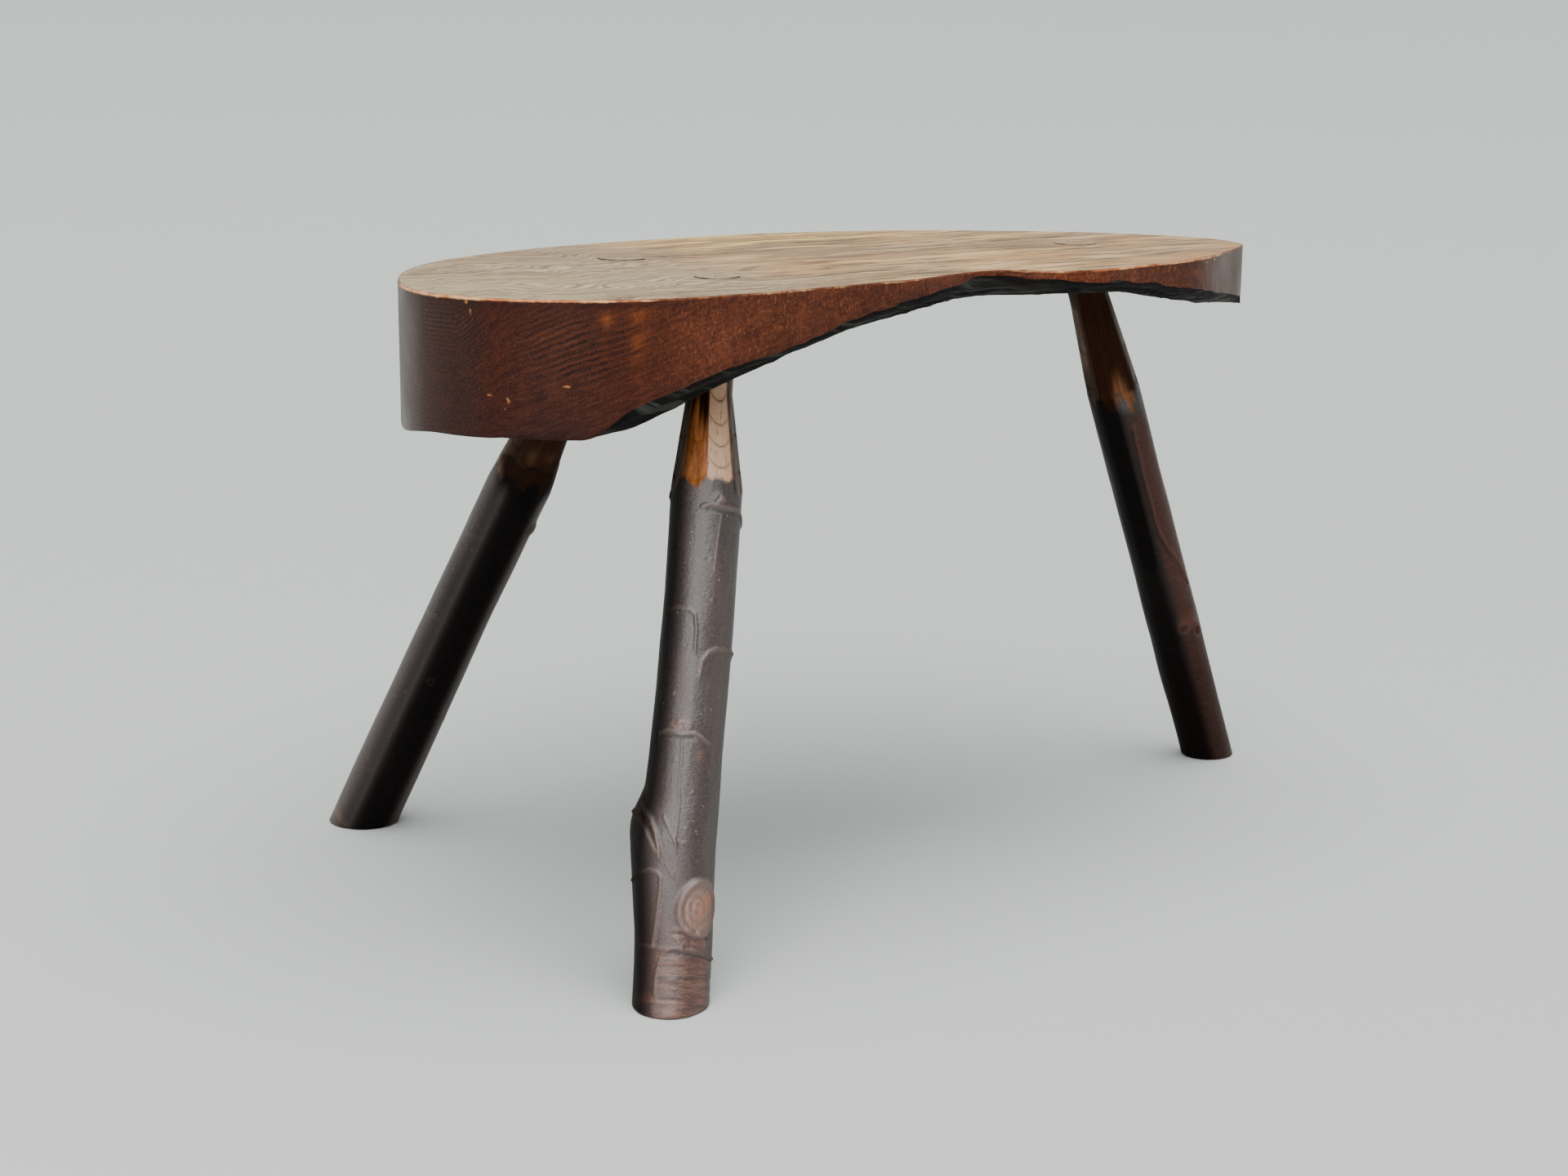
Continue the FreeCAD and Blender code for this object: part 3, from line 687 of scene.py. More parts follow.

# Wane: the trunk's charred-looking surface, near black, with a painted greenish grey highlight
# along its ridges.
wane_finish, tree, shader = new_finish("charred_wane")
spot, unrolled = in_object(tree), marked(tree, "unrolled", "Vector")
crest_highlight, drawn_out = marked(tree, "crest_highlight"), marked(tree, "drawn_out")
edge_grain, edge_pores = fibre(unrolled, (0.08, 0.08, 1.0), 420.0)
under_grain, under_pores = fibre(spot, (0.16, 1.0, 1.0), 300.0)
grain = tinted(drawn_out, under_grain, edge_grain)
cracks = tinted(drawn_out, under_pores, edge_pores)
highlight_and_brown_patches = clouds(spot, 30.0, 0.42, 0.66, (0.4, 1.0, 1.0))
ridges = clouds(unrolled, 300.0, 0.50, 0.62, (0.05, 0.05, 1.0))
# Painted highlight: greenish grey laid on the flutes' crests and along the edge's ridge lines, in
# patches.
lit = crest_highlight.spread(0.65, 1.0) * (highlight_and_brown_patches * 0.3 + 0.03)
lit = lit.worked("MAXIMUM", ridges * (drawn_out * 0.6))
colour = coated(tinted(grain, (3, 3, 3), (12, 11, 11)), [
    (lit, (66, 66, 62)),
    (highlight_and_brown_patches * 0.08, (60, 36, 28)),
])
relief = ridges * 1.2 + grain - cracks
surfaced(shader, colour, lit.spread(0.0, 1.0, 0.7, 0.5), relief, 0.85, 0.0016)
shader.inputs["Specular IOR Level"].default_value = 0.12

for finish in (top_finish, side_finish, wane_finish):
    slab.data.materials.append(finish)
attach(slab, "root")
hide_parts("slab_top")


# The front leg. The thickest of three poles cut from one kind of young tree, its thin dark bark
# left on. The head is whittled with a knife to long flat facets and then to a round tenon, which
# is driven through the slab, split, and spread with a wedge. The foot is sawn off level.
TENON_RADIUS, TENON_STAND = 15.5, 0.75
WEDGE_HALF, WEDGE_TIP_HALF, WEDGE_DEPTH, WEDGE_MARGIN = 1.8, 0.4, 26.0, 2.6
TENON_EASE, SLOT_EASE, SLOT_TIP_EASE = 0.03, 0.04, 0.05
FACET_TURN, FACET_SLOPE, CONE_SLOPE = 45, 0.93, 1.03
SCOOP_DEPTH, SCOOP_LENGTH = 0.75, 22
SWELL_HEADING = 145.0
BARK_RADIUS = 24
MM_PER_DEGREE = BARK_RADIUS * math.pi / 180


def square_to(axis, heading):
    """Unit vector square to an axis, pointing to a compass heading in degrees from +X."""
    angle = math.radians(heading)
    flat = np.array([math.cos(angle), math.sin(angle), 0.0])
    flat = flat - axis * flat.dot(axis)
    return flat / np.linalg.norm(flat)


def drawn_in(ring, inset, height):
    """Ring moved towards its middle by an inset and laid level at a height."""
    inward = ring.mean(0) - ring
    ring = ring + inward * (inset / np.linalg.norm(inward, axis=1))[:, None]
    ring[:, 2] = height
    return ring


def beside(bark, points):
    """Distance in millimetres from places on unrolled bark to a broken line. The bark's places and
    the line's points are a turn in degrees and a distance up the pole."""
    points = np.array(points, float) * [MM_PER_DEGREE, 1]
    here = np.stack([bark[0] * MM_PER_DEGREE, bark[1]], -1)
    nearest = np.full(bark[0].shape, np.inf)
    for start, end in zip(points, points[1:]):
        run = end - start
        share = np.clip(((here - start) @ run) / (run @ run), 0, 1)
        gap = here - start - share[..., None] * run
        nearest = np.minimum(nearest, np.hypot(gap[..., 0], gap[..., 1]))
    return nearest


def eye_of(bark, middle, wide, tall, tilt=0.0):
    """Oval distance from a knot's middle, 1 on its rim: both ways are divided by half sizes."""
    across, up = (bark[0] - middle[0]) * MM_PER_DEGREE, bark[1] - middle[1]
    lean = math.radians(tilt)
    a = (across * math.cos(lean) + up * math.sin(lean)) / wide
    b = (up * math.cos(lean) - across * math.sin(lean)) / tall
    return np.hypot(a, b)


def raised(bark, strokes):
    """Sum of bark ridges and creases: each is its height times a bell curve of the distance to its
    broken line, divided by its width."""
    return sum(height * bell(beside(bark, points), width) for height, width, points in strokes)


def pole_piece(name, girth, shares, taper, facet_heading, face_heading, wedge_heading, columns,
               bark_rows, knife, relief, seed, rim_shade=0.72):
    """One leg as a skin of turn and distance. Its radius is the least of the grown round, eight
    flat facets and a cone, never under the tenon's, and bark relief is added where the round is
    least. Each column runs from the floor to the top, then over the tenon's end to the slot."""
    head, foot, axis, length = pole_line(name)
    forward, swell_way = square_to(axis, face_heading), square_to(axis, SWELL_HEADING)
    sideways = np.cross(axis, forward)
    places, widths, asides = zip(*shares)
    taper_top, taper_length = taper
    top = length - taper_top
    shoulder = top - taper_length
    slope = (girth - 2 * TENON_RADIUS) / (2 * taper_length)
    turn = np.linspace(-180, 180, columns, endpoint=False)
    offset = (turn + face_heading - facet_heading) % 360
    facet = (offset // FACET_TURN).astype(int)
    middle = offset / FACET_TURN - facet - 0.5
    reach, _, _, tones, _ = (np.array(column, object) for column in zip(*knife))
    reach, tones = reach.astype(float), tones.astype(float)

    def skin(distance):
        """Places and finish marks of the skin at a distance for each column."""
        turns = np.broadcast_to(turn, distance.shape)
        along = distance / length
        grown_radius = girth * flowing(along, places, widths) / 2
        taper_side = girth * flowing(np.full(1, shoulder / length), places, asides)[0]
        below = np.maximum(top - distance, 0)
        aside = np.where(distance < shoulder, girth * flowing(along, places, asides),
                         taper_side * below / taper_length)
        apothem = TENON_RADIUS + FACET_SLOPE * slope * below + reach[facet] * eased(below, 0, 25)
        dark_lines_and_crease_shade = np.zeros(distance.shape)
        for side, (_, bow, ends, _, darkness) in enumerate(knife):
            for end in ends:
                past = distance - end - bow * (2 * middle) ** 2
                fading = np.clip(1 - past / SCOOP_LENGTH, 0, 1)
                scoop = (facet == side) * eased(past, 0, 0.9) * fading
                apothem = apothem - SCOOP_DEPTH * scoop
                dark_lines_and_crease_shade = dark_lines_and_crease_shade + darkness * (facet == side) * bell(past - 0.5, 0.7)
        cone = TENON_RADIUS + CONE_SLOPE * slope * below
        cut = np.minimum(apothem / np.cos(np.radians(middle * FACET_TURN)), cone)
        chatter = 0.10 * ripple(turns / 5, distance / 9, seed + 1, (72, 64))
        height, marks = relief(turns, distance)
        bark = 0.22 * ripple(turns / 22.5, distance / 40, seed + 2, (16, 64))
        bark = bark + 0.07 * ripple(turns / 7.5, distance / 9, seed + 3, (48, 64)) + height
        round_skin = grown_radius + bark * eased(top - distance, 0, 40)
        ragged = 0.35 * ripple(turns / 6, distance / 5, seed + 4, (60, 64))
        tenon = TENON_RADIUS - TENON_EASE
        radius = np.where(distance > top, tenon,
                          np.maximum(np.minimum(round_skin, cut + chatter), tenon))
        whittled = eased(grown_radius - cut + ragged, -0.1, 0.5)
        marks["cut"] = np.where(distance > shoulder - 20, whittled, 0.0)
        marks["tone"] = tones[facet] + 0 * distance
        marks["dark_lines_and_crease_shade"] = np.clip(marks["dark_lines_and_crease_shade"] + dark_lines_and_crease_shade * marks["cut"], 0, 1)
        spokes = (np.cos(np.radians(turns))[..., None] * forward
                  + np.sin(np.radians(turns))[..., None] * sideways)
        centre = foot + distance[..., None] * axis + aside[..., None] * swell_way
        return centre + radius[..., None] * spokes, marks

    floor_at, top_at = np.zeros(columns), np.full(columns, float(length))
    for _ in range(6):
        floor_at = floor_at + (1.0 - skin(floor_at)[0][:, 2]) / axis[2]
        top_at = top_at + (TOP_HEIGHT - skin(top_at)[0][:, 2]) / axis[2]
    distance = floor_at + (top_at - floor_at) * np.linspace(0, 1, bark_rows)[:, None]
    grid, marks = skin(distance)
    chips = 0.5 + 0.5 * np.clip(ripple(turn / 9, turn * 0, seed + 5, (40, 2)), 0, 1)
    lower = [drawn_in(grid[0], inset + chips * (inset < 2), height)
             for inset, height in ((12.0, 0.0), (3.5, 0.0), (1.0, 0.0), (0.35, 0.35))]
    upper = [drawn_in(grid[-1], inset, TOP_HEIGHT + height) for inset, height in (
        (0.12, 0.35), (0.45, 0.62), (1.0, TENON_STAND), (2.2, TENON_STAND))]
    levels = [*lower, *grid, *upper]

    # The slot is cut across the end, from just inside the rim, and narrows to its floor.
    way = square_to(axis, wedge_heading)
    square = np.cross(axis, way)
    ends = np.linspace(-1, 1, 5)

    def slot_ring(half):
        """Slot's outline square to the axis: two straight sides that end on a circle."""
        out = np.sqrt((TENON_RADIUS - WEDGE_MARGIN) ** 2 - (half * ends) ** 2)
        side = out[:, None] * way + (half * ends)[:, None] * square
        return head + np.concatenate([side, -side])

    slot_top = slot_ring(WEDGE_HALF + SLOT_EASE)
    slot_floor = slot_ring(WEDGE_TIP_HALF + SLOT_TIP_EASE)
    slot_top = slot_top + axis * ((TOP_HEIGHT + TENON_STAND - slot_top[:, 2]) / axis[2])[:, None]
    slot_floor = slot_floor - axis * WEDGE_DEPTH

    column = np.arange(columns)
    foot_number = columns * len(levels)
    slot = foot_number + 1 + np.arange(len(slot_top))
    floor = slot + len(slot_top)
    next_slot, next_floor = np.roll(slot, -1), np.roll(floor, -1)
    everything = np.concatenate([*levels, [[*foot[:2], 0.0]], slot_top, slot_floor])
    last_ring = columns * (len(levels) - 1) + column
    faces = [
        (woven(0, len(levels), columns)[:, ::-1], 0),
        (np.stack([np.full(columns, foot_number), (column + 1) % columns, column], -1), 0),
        (np.stack([slot, next_slot, next_floor, floor], -1), 0),
        (floor[None, :], 0),
        (patched(everything, last_ring, [slot], [], True), 0)]

    skin_start, skin_end = columns * len(lower), columns * (len(lower) + bark_rows)
    full = {mark: np.zeros(len(everything)) for mark in (*marks, "end")}
    for mark, values in marks.items():
        full[mark][skin_start:skin_end] = np.broadcast_to(values, distance.shape).ravel()
        full[mark][:skin_start] = np.tile(full[mark][skin_start:skin_start + columns], len(lower))
    full["cut"][skin_end:] = 1.0
    full["tone"][skin_end:] = 0.3
    # The tenon's rim rows carry painted shade: the dark crescent where it stands proud of the top.
    full["end"][skin_end - columns:] = rim_shade
    full["end"][skin_end + columns:] = 1.0
    full["end"][:skin_start - columns] = 0.5
    full["end"][foot_number] = 0.5
    relative = everything - foot
    own_ways = np.column_stack([forward, sideways, axis])
    full["pole_place"] = relative @ own_ways * MM
    return shape_piece(name + "_pole", everything, faces, full)


# Ridges and creases of the bark, each with its height, its width and its line.
FRONT_STROKES = [
    (1.0, 1.12, [(-6, 325), (6, 327), (26, 326), (50, 327), (76, 324), (95, 318)]),
    (-0.5, 1.05, [(4, 323), (26, 322.5), (50, 324)]),
    (0.35, 0.68, [(27, 320), (24, 308), (20, 282)]),
    (0.7, 0.98, [(-65, 254), (-36, 258), (-16, 256), (-6, 253), (-2, 243), (-1, 228)]),
    (0.8, 0.98, [(10, 212), (12, 222), (21, 228), (38, 232), (58, 232), (88, 231)]),
    (0.5, 1.2, [(80, 233), (92, 228)]),
    (0.9, 0.98, [(-46, 174), (-33, 176), (-10, 173), (7, 174), (23, 172), (34, 169)]),
    (-0.5, 0.98, [(-40, 172), (-10, 170), (12, 171)]),
    (0.35, 0.68, [(-9, 172), (-6, 156), (-6, 140), (0, 120), (2, 96)]),
    (1.3, 0.98, [(-74, 131), (-40, 118), (-26, 108), (-20, 98), (-20, 92)]),
    (1.2, 1.05, [(-90, 124), (-48, 114), (-31, 102), (-24, 96)]),
    (-0.9, 0.83, [(-66, 122), (-38, 110), (-26, 99)]),
    (0.9, 0.98, [(-82, 78), (-53, 82), (-36, 85), (-24, 83), (-18, 80), (-19, 72), (-24, 56),
                 (-32, 36)]),
    (0.55, 0.68, [(-20, 119), (-10, 112), (-2, 106), (4, 100)]),
    (0.5, 0.6, [(-6, 103), (7, 103), (20, 102)]),
    (0.5, 0.6, [(-10, 88), (-1, 80)]),
    (-0.8, 0.9, [(8, 45), (20, 43), (38, 42), (56, 43)]),
    (0.8, 0.83, [(-62, 38), (-30, 35), (-8, 34), (2, 35), (18, 34), (40, 34), (78, 31), (96, 30)]),
    (-0.7, 0.75, [(-4, 32), (18, 31.5), (40, 31.5), (74, 29)]),
    (0.6, 0.75, [(-8, 34), (-18, 30), (-23, 23), (-26, 14), (-26, 4)]),
    (0.35, 0.45, [(-22, 16), (-10, 15.5), (4, 15)]),
    (0.7, 1.05, [(150, 300), (170, 303), (178, 298)]),
    (0.8, 1.05, [(-160, 210), (-140, 214), (-120, 211), (-112, 204)]),
    (0.7, 0.9, [(120, 150), (140, 153), (165, 149)]),
    (0.6, 0.9, [(-170, 96), (-145, 99), (-118, 96)]),
]
FRONT_PIMPLES = [(34, 92), (8, 297), (14, 290), (2, 291), (-6, 268), (20, 262), (44, 246),
                 (-12, 230), (28, 205), (2, 196), (40, 150), (16, 136), (-30, 200), (60, 190),
                 (14, 112), (-16, 156)]


def front_relief(turn, distance):
    """Bark of the front pole, a sum of bells and steps of distance: arched ridges over old branch
    places, a torn stub low on the left, a big healed knot and a worn foot below its crease."""
    bark = turn, distance
    height = 1.3 * raised(bark, FRONT_STROKES)
    for spot in FRONT_PIMPLES:
        height += 0.55 * bell(eye_of(bark, spot, 1.0, 0.9))
    crinkle = ripple(turn / 4, distance / 2.2, 41, (90, 64))
    knot = eye_of(bark, (38, 61), 12.5, 17.5, -16)
    inside = 1 - eased(knot, 0.8, 1.0)
    dome = 1.1 + 0.9 * (1 - knot) + 0.25 * np.cos(knot * 21)
    height += 2.3 * bell(knot - 1.0, 0.15) + inside * dome
    brow, tuft = eye_of(bark, (22, 331.5), 5.5, 4.0), eye_of(bark, (-12, 179), 9.0, 4.5)
    height += (1 - eased(brow, 0.5, 1.2)) * (0.7 + 0.9 * crinkle)
    height += (1 - eased(tuft, 0.5, 1.1)) * (0.8 + 0.7 * crinkle)
    stub = eye_of(bark, (-98, 122), 17.0, 22.0)
    height += 3.4 * (1 - eased(stub, 0.15, 1.0)) * eased(150 - distance, 0, 14)
    height += 1.8 * bell(eye_of(bark, (-86, 336), 1.6, 2.4))
    gnarl = 1 - eased(eye_of(bark, (24, 42), 15.0, 8.0), 0.5, 1.2)
    height += gnarl * (0.4 + 1.0 * ripple(turn / 6, distance / 2.6, 42, (60, 64)))
    faced = eased(turn + 4 * crinkle, -32, -18) * (1 - eased(turn, 88, 110))
    foot = (1 - eased(distance, 28, 34)) * faced
    height += foot * (0.35 * ripple(turn / 26, distance / 1.5, 43, (16, 64)) - 0.2)
    torn = bell(beside(bark, [(-70, 123), (-38, 111), (-24, 97)]), 2.2)
    fleck = bell(eye_of(bark, (22, 160), 2.2, 4.0))
    scar = np.maximum.reduce([0.85 * inside, 0.75 * torn, 0.65 * foot, 0.6 * gnarl, 0.6 * fleck,
                              0.5 * (1 - eased(tuft, 0.5, 1.0)), 0.75 * bell(distance - 3, 3.5)])
    # The creases' dark lines are painted shade; the scratches, knot rings and knot rim are dark
    # marks of the bark itself.
    creases = raised(bark, [(-h, w, line) for h, w, line in FRONT_STROKES if h < 0])
    scratched = foot * np.clip(1.6 * ripple(turn / 60, distance / 1.3, 44, (16, 64)), 0, 1)
    askew = eye_of(bark, (33, 64), 12.0, 16.0, 10) + 0.10 * crinkle
    rings = inside * np.clip(np.cos(askew * 17), 0, 1) ** 3 * (knot > 0.2)
    rim = bell(knot - 0.84 - 0.03 * crinkle, 0.05)
    dark_lines_and_crease_shade = np.maximum.reduce([np.clip(creases, 0, 1), 0.35 * scratched, 0.6 * rings, 0.9 * rim])
    # Painted shade: the whittled head darkens under the slab and along its left edge, and the bark
    # darkens towards both sides.
    dark_edge = eased(-turn, 30, 50) * eased(distance, 330, 350)
    streaky = distance + 14 * ripple(turn / 5, distance / 70, 45, (72, 64))
    head_shade = eased(streaky, 372, 404) * (1 - eased(turn, -6, 4))
    head_shade = np.maximum(head_shade, 0.8 * dark_edge * (turn > -110))
    right_shade = 0.6 * eased(turn, 42, 50) * eased(distance, 325, 345)
    shade = np.maximum.reduce([0.84 * eased(-turn, 8, 58), 0.45 * eased(turn, 26, 78), 0.92 * head_shade,
                               right_shade])
    return height, {"scar": scar, "shade": shade, "dark_lines_and_crease_shade": dark_lines_and_crease_shade, "heart": inside,
                    "red": 0.25 * (1 - eased(distance, 30, 90)),
                    "crest_highlight": np.clip(height / 1.6, 0, 1)}


# Knife facets, anticlockwise from the facet heading: how far each is held out, how much its knife
# marks bow, where each stroke ended, its tone from dark red-brown at 0 to amber at 1, and how dark
# the ends of its strokes are. Widths and sideways bends go up the pole, in shares of its girth.
front_leg = pole_piece(
    "front_leg", girth=48.0, taper=(83.0, 66.0), facet_heading=-123.0, face_heading=-123.0,
    wedge_heading=58.0, columns=224, bark_rows=400, relief=front_relief, seed=50,
    shares=[
        (-0.060, 1.04, 0.00), (0.000, 1.04, 0.00), (0.075, 1.06, 0.015), (0.130, 1.10, 0.05),
        (0.175, 1.14, 0.08), (0.210, 1.17, 0.10), (0.240, 1.12, 0.07), (0.275, 1.05, 0.03),
        (0.340, 1.015, 0.01), (0.450, 1.00, -0.025), (0.560, 0.99, -0.045), (0.700, 1.00, -0.045),
        (0.900, 1.00, 0.000)],
    knife=[
        (0.9, 7.0, (352, 367, 382, 399), 0.5, 0.9), (-0.1, 5.0, (352, 378), 0.1, 0.2),
        (0.1, 6.0, (343, 371), 0.35, 0.3), (0.0, 5.0, (349, 369, 388), 0.45, 0.4),
        (0.2, 6.0, (341, 366), 0.4, 0.3), (-0.1, 5.0, (355, 380), 0.5, 0.4),
        (0.1, 7.0, (346, 374), 0.25, 0.3), (0.0, 6.0, (342, 369), 0.95, 0.12)])

# Bark and whittled wood share one finish: dark glossy bark, reddish in torn and worn places, and
# oiled knife-cut wood from red-brown to amber, told apart by the marks that each pole carries. The
# shade mark paints shade into the colour, near black where a pole stands in shadow.
pole_finish, tree, shader = new_finish("bark_and_whittled_wood")
spot = marked(tree, "pole_place", "Vector")
cut, tone, scar, crest_highlight, end, shade, dark_lines_and_crease_shade, heart, red = (marked(tree, mark) for mark in (
    "cut", "tone", "scar", "crest_highlight", "end", "shade", "dark_lines_and_crease_shade", "heart", "red"))
lines, pores = fibre(spot, (1.0, 1.0, 0.07), 300.0)
scratches, scratch_pores = fibre(spot, (0.12, 0.12, 1.0), 560.0)
fuzz, _ = fibre(spot, (0.8, 0.8, 1.0), 620.0)
bands = clouds(spot, 42.0, 0.38, 0.64, (1.0, 1.0, 0.16))
patches = clouds(spot, 22.0, 0.42, 0.68, (1.0, 1.0, 0.6))
specks = grown(tree, "TexVoronoi", {"Vector": spot, "Scale": 170.0, "Randomness": 1.0}, "Distance")
lenticel = specks.spread(0.16, 0.07) * clouds(spot, 60.0, 0.5, 0.62)
raw_wood = tinted(scratches, (74, 40, 30), (124, 84, 68))
raw_wood = tinted(scratch_pores * 0.3, raw_wood, (40, 20, 15))
healed = tinted(patches.spread(0.2, 0.8), (128, 96, 84), (176, 104, 58))
bark = coated(tinted(bands, (33, 21, 20), (54, 38, 35)), [
    (patches * 0.4, (58, 33, 27)),
    (fuzz * 0.34, (88, 70, 66)),
    (pores * 0.25, (16, 10, 10)),
    (lenticel * 0.75, (132, 108, 98)),
    # Painted highlight: bark ridges lighter where they rise.
    (crest_highlight * 0.45, (108, 82, 72)),
    (red * lines.spread(0.0, 0.8, 0.45, 1.0), tinted(fuzz, (56, 17, 8), (104, 42, 20))),
    (scar * (patches + scratches).spread(0.0, 0.6, 0.35, 1.0), raw_wood),
    (heart * 0.9, tinted(pores * 0.5, healed, (90, 56, 44))),
])
cut_wood = coated(tinted(tone.spread(0.0, 0.5), (66, 34, 24), (190, 148, 118)), [
    (lines * 0.35, (214, 176, 146)),
    (tone.spread(0.55, 0.9), tinted(lines, (112, 58, 20), (164, 98, 44))),
    (patches * 0.5, (96, 50, 26)),
    (pores * 0.6, (46, 24, 16)),
])
end_grain = use(weathered, in_object(tree) + (0.013, 0.021, 0.0))[0]
# Painted highlight on bark ridges and knot lips, weaker where the pole is shaded.
ridge_highlight_share = crest_highlight * shade.spread(0.35, 0.9, 0.3, 0.04) * (1.0 - cut)
colour = coated(tinted(cut, bark, cut_wood), [
    # Dark lines: knot rings, scratches and stroke ends, and painted shade in the bark's creases.
    (dark_lines_and_crease_shade * 0.75, (24, 13, 11)),
    # Painted shade from the shade mark.
    (shade.spread(0.0, 0.95, 0.0, 0.97), tinted(cut, (6, 5, 5), (22, 11, 8))),
    (ridge_highlight_share, tinted(red, (104, 84, 78), (110, 62, 42))),
    # Painted shade on the tenon's proud rim.
    (end.spread(0.55, 0.7), (40, 30, 26)),
    (end.spread(0.85, 0.98), end_grain),
])
rough = tinted(cut, bands.spread(0.0, 1.0, 0.39, 0.47), patches.spread(0.0, 1.0, 0.36, 0.5))
relief = (lines * 0.5 - pores) * (cut * 0.8 + 0.2) + (lenticel * 3.4 + fuzz * 0.9)
surfaced(shader, colour, rough, relief, 0.26, 0.0007)
gloss = shade.spread(0.0, 0.9, 1.0, 0.04) * (red * -0.6 + 1.0)
shader.inputs["Specular IOR Level"].default_value = 0.4
join(gloss * (cut * -0.5 + 1.0), shader.inputs["Specular IOR Level"])
front_leg.data.materials.append(pole_finish)
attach(front_leg, "root")
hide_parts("front_leg")


# The back left leg. A straight pole of the same tree, a little thicker at its foot, whittled
# further down than the others and fixed in the slab in the same way.
BACK_LEFT_STROKES = [
    (0.35, 0.98, [(-60, 262), (-30, 266), (0, 263), (30, 266), (50, 262)]),
    (0.35, 0.9, [(-70, 190), (-40, 193), (-10, 190)]),
    (0.4, 0.9, [(20, 110), (50, 113), (80, 109)]),
    (0.3, 0.9, [(-50, 52), (-20, 55), (16, 52)]),
    (0.8, 1.05, [(120, 240), (150, 244), (172, 240)]),
    (0.7, 1.05, [(-165, 130), (-140, 133), (-116, 129)]),
]


def back_left_relief(turn, distance):
    """Bark of the back left pole, a sum of bells and steps of distance: low arches, one small
    knob, a kink under the whittling and a few scuffs."""
    bark = turn, distance
    height = raised(bark, BACK_LEFT_STROKES)
    knob = eye_of(bark, (2, 143), 2.6, 2.4)
    knob_ring = bell(knob - 1, 0.4)
    height += 0.9 * knob_ring - 0.2 * (knob < 0.4)
    height += 1.6 * (1 - eased(eye_of(bark, (74, 283), 9.0, 7.0), 0.2, 1.1))
    scuff = np.maximum.reduce([bell(eye_of(bark, (-6, 66), 3.4, 8.0)),
                               bell(eye_of(bark, (14, 44), 2.6, 5.0)),
                               0.8 * bell(distance - 3, 3.0) * (turn < -30)])
    amber = np.maximum(bell(eye_of(bark, (-6, 340), 5.0, 7.0)),
                       0.8 * bell(eye_of(bark, (34, 343), 8.0, 5.0)))
    # Painted shade: this pole is near black, with its whittled top shaded under the slab and less
    # shade down its left side.
    shade = np.maximum(0.9 * bell(turn - 14, 46, 4), 0.55)
    ragged = distance + 3 * ripple(turn / 9, distance / 40, 71, (40, 64))
    top = np.maximum(1 - eased(ragged, 331, 337), 0.84 - 0.12 * amber)
    shade = shade + (top - shade) * eased(distance, 300, 326)
    shade = shade * (1 - within(-turn, 34, 70, 115, 150) * (0.75 - 0.5 * eased(distance, 310, 330)))
    return height, {"scar": 0.8 * scuff, "shade": shade, "heart": 0 * turn,
                    "dark_lines_and_crease_shade": 0.8 * (1 - eased(knob, 0.3, 0.7)),
                    "red": 0.35 * within(turn, 20, 60, 110, 140),
                    "crest_highlight": np.clip(height / 1.7 + 0.6 * knob_ring, 0, 1)}


back_left_leg = pole_piece(
    "back_left_leg", girth=47.4, taper=(106.0, 76.0), facet_heading=-98.0, face_heading=-118.0,
    wedge_heading=-32.0, columns=176, bark_rows=300, relief=back_left_relief, seed=70,
    shares=[
        (-0.060, 1.04, 0.00), (0.100, 1.04, 0.00), (0.250, 1.02, 0.00), (0.400, 0.995, 0.00),
        (0.550, 1.00, -0.02), (0.680, 1.005, -0.035), (0.900, 1.00, 0.00)],
    knife=[
        (0.1, 6.0, (338, 372), 0.85, 0.2), (0.0, 6.0, (334, 366), 0.7, 0.3),
        (0.2, 5.0, (345, 378), 0.35, 0.3), (0.0, 6.0, (339, 368), 0.30, 0.3),
        (0.2, 6.0, (336, 371), 0.40, 0.3), (-0.1, 5.0, (347, 380), 0.35, 0.3),
        (0.0, 6.0, (340, 369), 0.22, 0.3), (0.1, 6.0, (331, 362), 0.80, 0.2)])
back_left_leg.data.materials.append(pole_finish)
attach(back_left_leg, "root")
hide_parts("back_left_leg")


# The right leg. The thinnest pole, from under the slab's thin end, fixed as the others are. One
# long facet of its whittling runs down into the bark, and two small knots sit side by side on it.
RIGHT_STROKES = [
    (1.3, 1.2, [(28, 332), (23, 314), (26, 300), (21, 284), (24, 262), (22, 244), (26, 228),
                (38, 211), (46, 204), (60, 184)]),
    (-0.7, 1.0, [(21, 326), (17, 302), (17, 270), (18, 231), (33, 208)]),
    (1.2, 1.1, [(42, 213), (56, 192), (70, 172)]),
    (0.4, 0.9, [(-60, 240), (-34, 243), (-8, 240)]),
    (0.45, 0.98, [(-70, 120), (-44, 124), (-12, 121), (16, 126)]),
    (0.4, 0.9, [(-40, 62), (-10, 65), (24, 62)]),
    (0.8, 1.05, [(118, 220), (146, 224), (170, 220)]),
    (0.7, 0.98, [(-168, 150), (-140, 154), (-114, 150)]),
]


